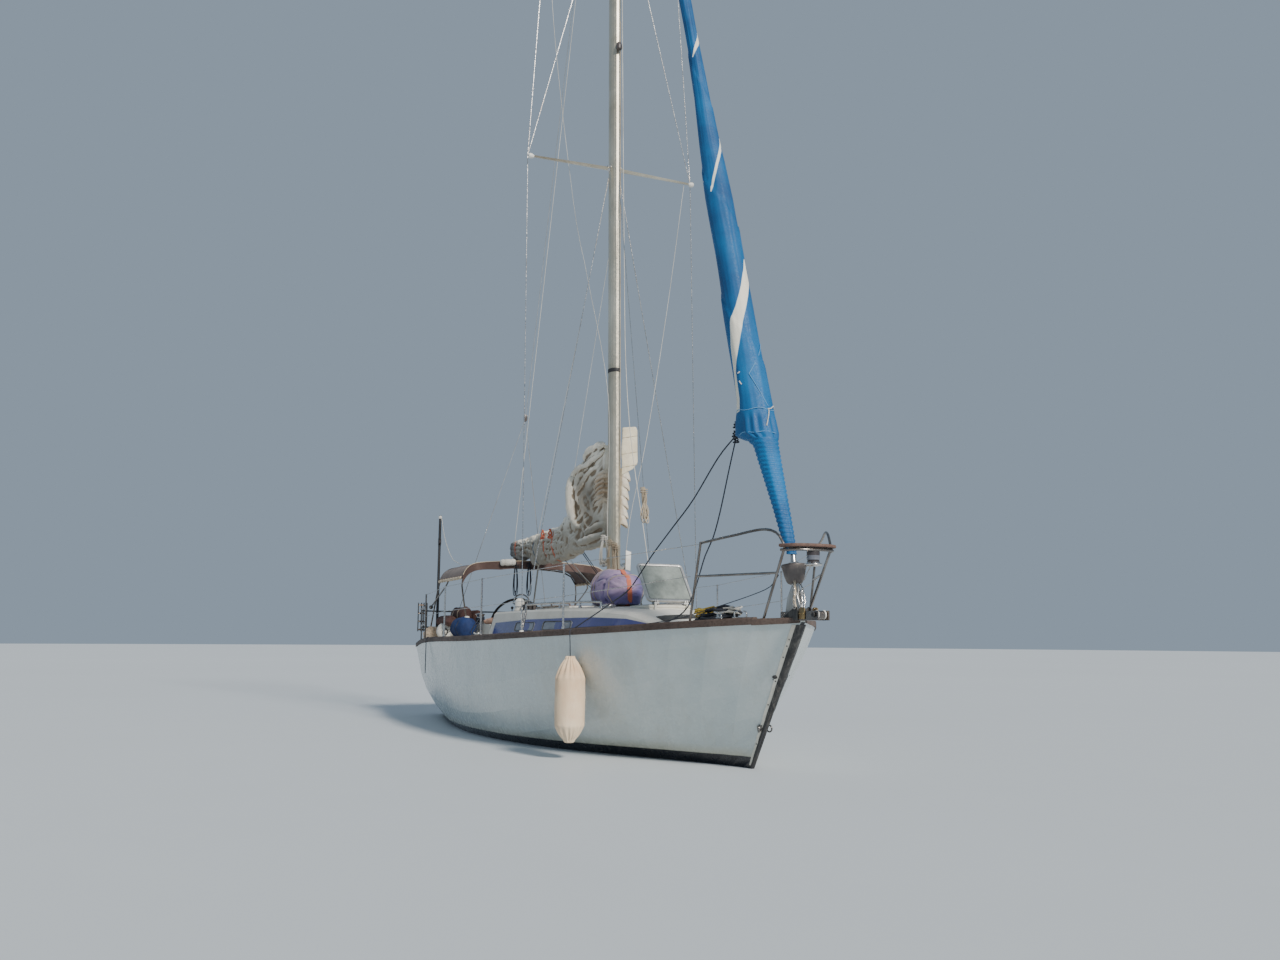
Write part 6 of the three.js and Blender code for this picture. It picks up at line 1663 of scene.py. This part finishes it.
for z, angle, label in ((2.17, -112, "stbd"), (2.12, 112, "port"), (1.98, 60, "fore")):
    at, out = mast_face(z, angle)
    pad = lathe([(0, -12), (58, -12), (60, -8), (60, 2), (0, 2)], at, turn=out, steps=32)
    fit(joined([pad, small_winch(at, out)]), "mast_winch_" + label, steel)
for i, (z, angle) in enumerate(((1.90, -95), (1.83, -60), (1.88, 95), (1.80, 62))):
    at, out = mast_face(z, angle)
    horns = cleat(at, [(0, 0.032), (0.05, 0.034), (0.085, 0.040)],
                  [(0, -4), (14, -4), (14, 2), (8, 10), (8, 34), (0, 36)], 0.024, 0.015, 10, 16,
                  along=(0, 0, 1), out=out)
    fit(horns, "mast_cleat_%d" % (i + 1), steel, smooth=50)
tape = finish("rigging_tape", (0.018, 0.018, 0.020), (0.060, 0.058, 0.060), (0.5, 0.75), cloud=9.0, grain=90,
              bump=0.2)
for i, (z, tall) in enumerate(((10.62, 0.14), (10.28, 0.09), (4.62, 0.05))):
    rings = []
    for dz, a in ((0, 0.0015), (0.004, 0.003), (tall - 0.004, 0.003), (tall, 0.0015), (tall, 0.0), (0, 0.0)):
        rings.append([(mast_x(z + dz) + (mast_long + a) * math.cos(t), (mast_wide + a) * math.sin(t), z + dz)
                      for t in circle(48)])
    fit(hoop(rings), "mast_tape_%d" % (i + 1), tape, smooth=40)
# Gooseneck: a bracket on the mast's after face, with a fork and a pin to the boom.
goose = [plate([(0.236, y, 2.375), (0.236, y, 2.505), (0.205, y, 2.490), (0.165, y, 2.462), (0.150, y, 2.440),
                (0.165, y, 2.418), (0.205, y, 2.390)], (0, 0.010, 0), 0.003) for y in (-0.060, 0.050)]
track = plate([(0.240, -0.030, 2.28), (0.240, 0.030, 2.28), (0.240, 0.030, 2.62), (0.240, -0.030, 2.62)],
              (-0.010, 0, 0), 0.003)
goose_pin = lathe([(0, -76), (12, -76), (14, -72), (14, -64), (8, -64), (8, 64), (14, 64), (14, 72), (12, 76),
                   (0, 76)], (0.166, 0, 2.440), "Y", 20)
fit(joined(goose + [track, goose_pin]), "gooseneck", cast_alloy, smooth=30)
vang_eye = [plate([(0.236, y, 1.755), (0.236, y, 1.835), (0.205, y, 1.820), (0.195, y, 1.795),
                   (0.205, y, 1.770)], (0, 0.008, 0), 0.002) for y in (-0.024, 0.016)]
sheave = lathe([(4, -14), (26, -14), (28, -12), (22, 0), (28, 12), (26, 14), (4, 14), (4, -14)],
               (0.200, 0, 1.795), "Y", 28)
fit(joined(vang_eye + [sheave]), "vang_foot", steel)
sheaves = [(4, -36), (30, -36), (34, -32), (28, -24), (34, -16), (28, -8), (34, 0), (28, 8), (34, 16), (28, 24),
           (34, 32), (30, 36), (4, 36), (4, -36)]
x, z = goose_x - 2.785, boom_z(2.785) - 0.075
bail = tube(eased([(x, -0.052, z + 0.06), (x, -0.050, z - 0.01), (x, -0.02, z - 0.045), (x, 0.02, z - 0.045),
                   (x, 0.050, z - 0.01), (x, 0.052, z + 0.06)], 0.012), 0.010, 10)
fit(joined([bail, lathe(sheaves, (x, 0, z - 0.070), "X", 32)]), "mainsheet_block", lamp_black, "boom_body", 35)
fit(lathe(sheaves, (-3.25, 0, 0.742), "X", 32), "mainsheet_foot_block", lamp_black)
# A white chafe panel lashed beside the mast, and hanks of halyard on its cleats.
panel = plate([(0.50, 0.085, 2.07), (0.50, 0.150, 2.055), (0.505, 0.158, 2.29), (0.495, 0.090, 2.31)],
              (0.012, 0, 0), 0.004)
fit(panel, "chafe_panel", nylon, smooth=30)
holder = tube([(0.455, 0.055, 2.20), (0.48, 0.08, 2.20), (0.503, 0.10, 2.20)], 0.012, 8)
fit(holder, "chafe_panel_arm", steel, smooth=50)


def hank(name, top, turns, long, wide, thick, made, lean=(0, 0, 0), twist=0.0):
    """A hank of line: loops that hang from one point, drawn together by turns round their upper part."""
    top, path = Vector(top), []
    for k in range(turns * 24 + 1):
        t = k * 2 * math.pi / 24
        grow = 1 + 0.10 * math.sin(k / 24 * 2.4)
        spread = (k / 24 - turns / 2) * thick * 0.75
        down = (1 - math.cos(t)) / 2
        over = twist * down * math.sin(k / 24 * 1.9) + twist * down * 4
        loop = Vector((spread * 0.6 + wide * math.sin(t) * math.sin(over),
                       wide * math.sin(t) * math.cos(over) + spread * 0.5, 0)) * (0.35 + 0.65 * down) * grow
        path.append(top + Vector(lean) * down + loop + Vector((0, 0, -long * down * grow)))
    rope(name, path, thick, made)
    tie = [top + Vector(lean) * 0.2
           + Vector((0.030 * math.cos(a), 0.048 * math.sin(a), -long * 0.20 + 0.0040 * a))
           for a in evenly(0, 6 * math.pi, 48)]
    fit(tube(tie, thick * 0.9, 6), name + "_tie", made, smooth=80)


hank("halyard_hank_1", (0.325, -0.130, 2.50), 7, 0.36, 0.062, 0.010, white_line)
hank("halyard_hank_2", (0.445, -0.090, 2.44), 6, 0.40, 0.045, 0.010, tan_line)
hank("halyard_hank_3", (0.462, -0.020, 2.40), 5, 0.46, 0.035, 0.010, tan_line)
hank("babystay_hank", (1.195, 0.026, 3.02), 9, 0.40, 0.042, 0.011, tan_line, lean=(0.06, 0, 0), twist=0.9)
for label, y in (("stbd", -0.335), ("mid", -0.125)):
    hank("awning_hank_" + label, (-2.752, y, 2.337 if y < -0.2 else 2.346), 4, 0.46, 0.036, 0.012, dark_line)
# Spreader ends with white boots, and lamps.
for z, x, y, label in ((7.415, 0.176, 1.164, "lower"), (11.905, 0.088, 0.888, "upper")):
    for side, end in sides:
        boot = lathe([(0, -50), (18, -50), (30, -30), (34, -8), (34, 10), (26, 22), (0, 26)], (x, side * y, z),
                     turn=(0, side, 0.05), steps=24)
        fit(boot, "spreader_boot_%s_%s" % (label, end), nylon, smooth=45)
at, out = mast_face(9.10, 0)
lamp = lathe([(0, 0), (36, 0), (40, 5), (40, 55), (36, 60), (30, 90), (0, 94)], at + Vector((0.040, 0, -0.03)),
             steps=28)
fit(lamp, "steaming_lamp", lamp_black)
for z, label in ((7.20, "lower"), (11.70, "upper")):
    for side, end in sides:
        spot, out = mast_face(z + 0.22, side * 92)
        root = lathe([(0, -6), (50, -6), (52, 0), (40, 12), (32, 30), (0, 34)], spot, turn=(0, side, 0.05),
                     steps=28)
        fit(root, "spreader_root_%s_%s" % (label, end), cast_alloy, smooth=40)

# COIL ON THE FOREDECK
# Spare warps dropped in a heap by the forehatch: black mooring line with a yellow and a white one on top.

def strewn(name, middle, size, turns, thick, made, seed, lift, tall):
    """Loose loops of a line on the deck, each a little off the last, resting on those below."""
    path = []
    for k in range(turns * 20 + 1):
        t = k * 2 * math.pi / 20
        turn = k / 20
        drift = Vector((noise.noise(Vector((turn * 0.9, seed, 1.3))),
                        noise.noise(Vector((turn * 0.9, seed, 7.7))), 0)) * 0.09
        reach = 1 - 0.10 * noise.noise(Vector((turn * 1.7, seed, 4.1))) - 0.28 * (turn / turns) ** 2
        x = middle[0] + drift.x + size[0] * reach * math.cos(t + 0.5 * math.sin(turn))
        y = middle[1] + drift.y + size[1] * reach * math.sin(t)
        path.append(Vector((x, y,
                            deck_top(x, abs(y)) + lift
                            + tall * (turn / turns) + 0.010 * math.sin(t * 2.3 + seed))))
    return rope(name, eased(path[::2], 0.028), thick, made)


yellow_line = finish("yellow_line", (0.42, 0.27, 0.03), (0.72, 0.52, 0.10), (0.7, 0.9), grain=240, weave=520,
                     bump=0.7)
first = strewn("foredeck_warp_1", (3.40, -0.13), (0.27, 0.185), 11, 0.022, dark_line, 1.0, 0.012, 0.085)
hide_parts("line_heap")
strewn("foredeck_warp_2", (3.52, -0.15), (0.20, 0.15), 9, 0.022, dark_line, 5.0, 0.055, 0.115)
strewn("foredeck_warp_3", (3.30, -0.18), (0.16, 0.12), 6, 0.018, yellow_line, 9.0, 0.100, 0.075)
strewn("foredeck_warp_4", (3.62, -0.10), (0.14, 0.12), 6, 0.016, white_line, 14.0, 0.100, 0.070)

# BAGS AND COVERS ON THE AFTER DECK
# A dark blue sail bag and a rolled brown cover are lashed to the guard wires and the coaming, with webbing.

def bundle(name, ends, half, seed, made, room=0.018, grow=0.10):
    """A rolled or stuffed cloth bundle from end to end, drawn in at its lashings."""
    a, b = Vector(ends[0]), Vector(ends[1])
    rings = []
    along = (b - a).normalized()
    side = along.cross(Vector((0, 0, 1))).normalized()
    up_way = side.cross(along)
    for t in evenly(0, 1, 47):
        plump = max(0.10, (1 - abs(2 * t - 1) ** 9) ** 0.5)
        tied = 1 - 0.16 * furrow(t, 0.30, 0.035) - 0.16 * furrow(t, 0.70, 0.035)
        line = []
        for angle in circle(52):
            c, s = math.cos(angle), math.sin(angle)
            lump = 1 + 0.10 * noise.noise(Vector((c * 1.4 + seed, s * 1.4, t * 4)))
            lump += 0.05 * math.sin(angle * 5 + t * 9 + seed) * (1 - plump * 0.6)
            p = a.lerp(b, t) + side * (half[0] * plump * tied * lump * c)
            line.append(p + up_way * (half[1] * plump * tied * lump * s))
        rings.append(line)
    piece = crumple(skin(rings), room, grow)
    tell(piece, "hollow", hollows(piece, 6))
    return fit(piece, name, made, smooth=180)


navy = creased(finish("navy_bag_cloth", (0.006, 0.017, 0.075), (0.016, 0.045, 0.170), (0.7, 0.9), cloud=4.0,
                      grain=60, weave=340, bump=0.3, dirt=(0.05, 0.07, 0.16, 0.3), runs=8.0),
               (0.004, 0.006, 0.022))
blue_low, blue_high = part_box("blue_bag")
blue_mid = (blue_low + blue_high) / 2
navy_bag = bundle("navy_bag",
                  ((blue_low.x + 0.006, blue_mid.y, blue_mid.z), (blue_high.x - 0.006, blue_mid.y, blue_mid.z)),
                  (0.134, 0.140), 2.0, navy)
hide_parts("blue_bag")
rust_cover = creased(finish("rust_cover_cloth", (0.055, 0.026, 0.024), (0.130, 0.066, 0.056), (0.8, 0.95),
                            cloud=4.0, grain=60, weave=320, bump=0.35, dirt=(0.20, 0.12, 0.09, 0.4), runs=8.0),
                     (0.018, 0.010, 0.010))
brown_low, brown_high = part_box("brown_bundle")
brown_mid = (brown_low + brown_high) / 2
rolled = bundle("rolled_cover",
                ((brown_low.x + 0.006, brown_mid.y, brown_mid.z),
                 (brown_high.x - 0.006, brown_mid.y, brown_mid.z)), (0.090, 0.135), 6.0, rust_cover)
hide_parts("brown_bundle")
for piece, low, high, name in ((navy_bag, blue_low, blue_high, "navy_bag_strap"),
                               (rolled, brown_low, brown_high, "rolled_cover_strap")):
    middle = (low + high) / 2
    for i, t in enumerate((0.30, 0.70)):
        x = low.x + 0.006 + (high.x - low.x - 0.012) * t
        loop = [(x, middle.y + 0.2 * math.cos(t), middle.z + 0.2 * math.sin(t)) for t in circle(40)]
        band("%s_%d" % (name, i + 1), laid_on(loop, [(x, middle.y, middle.z)] * 40, piece), 0.030, 0.004,
             tape if name[0] == "n" else cream_web)
knob = lathe([(0, 0), (30, 0), (36, 6), (36, 16), (26, 26), (12, 30), (0, 30)],
             (-2.20, blue_mid.y + 0.01, blue_high.z - 0.006), steps=28)
fit(knob, "bag_cap", nylon, smooth=45)

# STERN GEAR
# A round white fender and a cream-covered one ride on the quarter; a boarding ladder is folded up on
# the stern rail, and the pole has a block and a cap. Spare covers and a towel lie round the cockpit.

white_low, white_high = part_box("fender_white")
pleats = []
for t in evenly(0, 1, 59):
    out = 0.112 * (1 - abs(2 * t - 1) ** 3.2) ** 0.5 + 0.012
    pleats.append([(white_low.x + 0.002 + 0.380 * t,
                    (white_low.y + white_high.y) / 2
                    + out * (1 + 0.05 * math.sin(a * 11 + 0.6 * math.sin(t * 3))) * math.cos(a),
                    1.252 + out * (1 + 0.05 * math.sin(a * 11 + 0.6 * math.sin(t * 3))) * math.sin(a))
                   for a in circle(88)])
quarter = crumple(skin(pleats), 0.006, grow=0.06, press=0.4)
fit(quarter, "quarter_fender", cover_cloth, smooth=180)
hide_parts("fender_white")
spot = Vector((-3.48, -1.203, 1.306))
buoy = lathe([(0, -300), (30, -298), (85, -270), (120, -220), (133, -160), (133, -80), (124, -40), (104, -12),
              (70, 4), (36, 10), (28, 14), (26, 26), (18, 32), (8, 28), (0, 26)], spot, turn=(1, -0.25, 0),
             steps=48)
fit(buoy, "white_fender", nylon, smooth=50)
eye = [spot + Vector((0.026, -0.006, 0)) + Vector((0.004 * math.sin(3 * t), 0.034 * math.cos(t),
                                                   0.046 * math.sin(t) - 0.01)) for t in circle(32)]
fit(tube(eye, 0.016, 8, ring=True), "white_fender_grommet", dark_line, smooth=60)
rope("quarter_line",
     eased([(-2.85, -1.596, 1.219), (-2.85, -1.620, 1.214), (-2.85, -1.630, 1.19), (-2.85, -1.633, 1.10),
            (-2.85, -1.633, 0.70)], 0.02), 0.012, dark_line)
rungs = []
for dx, dy in ((0, 0), (-0.045, 0.06)):
    for y in (-1.355, -1.265):
        rungs.append(tube([(-4.700 + dx, y + dy, 1.305), (-4.700 + dx, y + dy, 1.765)], 0.020, 12))
    for k in range(4):
        rungs.append(tube([(-4.700 + dx, -1.355 + dy, 1.33 + 0.13 * k),
                           (-4.700 + dx, -1.265 + dy, 1.33 + 0.13 * k)], 0.018, 10))
fit(joined(rungs), "boarding_ladder", dark_reflection_steel, smooth=50)
treads = [board(-4.714, -4.686, -1.345, -1.275, 1.336 + 0.13 * k, 0.012) for k in range(4)]
fit(joined(treads), "ladder_treads", teak, smooth=30)
shells = [plate([(x, -1.100 + 0.016 * s, z)
                 for x, z in ((-4.480, 2.69), (-4.480, 2.79), (-4.455, 2.80), (-4.430, 2.77), (-4.430, 2.71),
                              (-4.455, 2.68))], (0, 0.006 * s, 0), 0.002) for s in (-1, 1)]
sheave = lathe([(4, -14), (28, -14), (31, -11), (24, 0), (31, 11), (28, 14), (4, 14), (4, -14)],
               (-4.455, -1.100, 2.74), "Y", 28)
fit(joined(shells + [sheave]), "pole_block", lamp_black)
top = lathe([(0, 0), (24, 0), (27, 4), (27, 34), (20, 46), (0, 50)], (-4.500, -1.090, 3.120), steps=24)
fit(top, "pole_cap", nylon, smooth=40)
bleached = creased(finish("bleached_cloth", (0.62, 0.60, 0.55), (0.86, 0.84, 0.79), (0.7, 0.9), cloud=4.0,
                          grain=60, weave=340, bump=0.3, dirt=(0.45, 0.40, 0.33, 0.4), runs=7.0),
                   (0.30, 0.27, 0.22))
flap = bundle("awning_rolled_flap", ((-2.700, -0.590, 2.318), (-2.700, -0.360, 2.334)), (0.038, 0.048), 11.0,
              bleached, room=0.008, grow=0.06)
spare = bundle("spare_cover_side", ((-3.96, -1.165, 1.46), (-3.30, -1.150, 1.46)), (0.085, 0.075), 13.0,
               rust_cover)
inner = bundle("spare_cover_inner", ((-3.96, -0.740, 1.50), (-3.28, -0.740, 1.51)), (0.100, 0.110), 17.0,
               rust_cover)
peach = creased(finish("peach_towelling", (0.50, 0.27, 0.18), (0.76, 0.48, 0.35), (0.85, 0.98), cloud=5.0,
                       grain=120, weave=200, bump=0.6), (0.26, 0.14, 0.10))
towel = bundle("coaming_towel", ((-2.12, -0.930, 1.436), (-1.68, -0.930, 1.448)), (0.070, 0.038), 19.0, peach,
               room=0.008, grow=0.06)

# STUDIO
# A pale floor stands for the water's surface, under one broad high light from the port bow and an even sky.

bpy.ops.mesh.primitive_circle_add(vertices=96, radius=150, fill_type="NGON", location=(0, 0, 0))
floor = bpy.context.object
floor.name = "floor"
floor.data.materials.append(finish("pale_floor", (0.60, 0.64, 0.67), (0.63, 0.67, 0.70), (0.55, 0.6),
                                   cloud=0.05, grain=2, bump=0.0))
bpy.ops.object.light_add(type="SUN", rotation=Vector((0.80, 0.14, 0.58)).to_track_quat("Z", "Y").to_euler())
sun = bpy.context.object.data
sun.energy, sun.angle, sun.color = 4.2, math.radians(9), (1.0, 0.95, 0.87)
world = bpy.data.worlds.new("even_sky")
world.use_nodes = True
world.node_tree.nodes["Background"].inputs[0].default_value = (0.52, 0.66, 0.82, 1)
world.node_tree.nodes["Background"].inputs[1].default_value = 0.5
bpy.context.scene.world = world
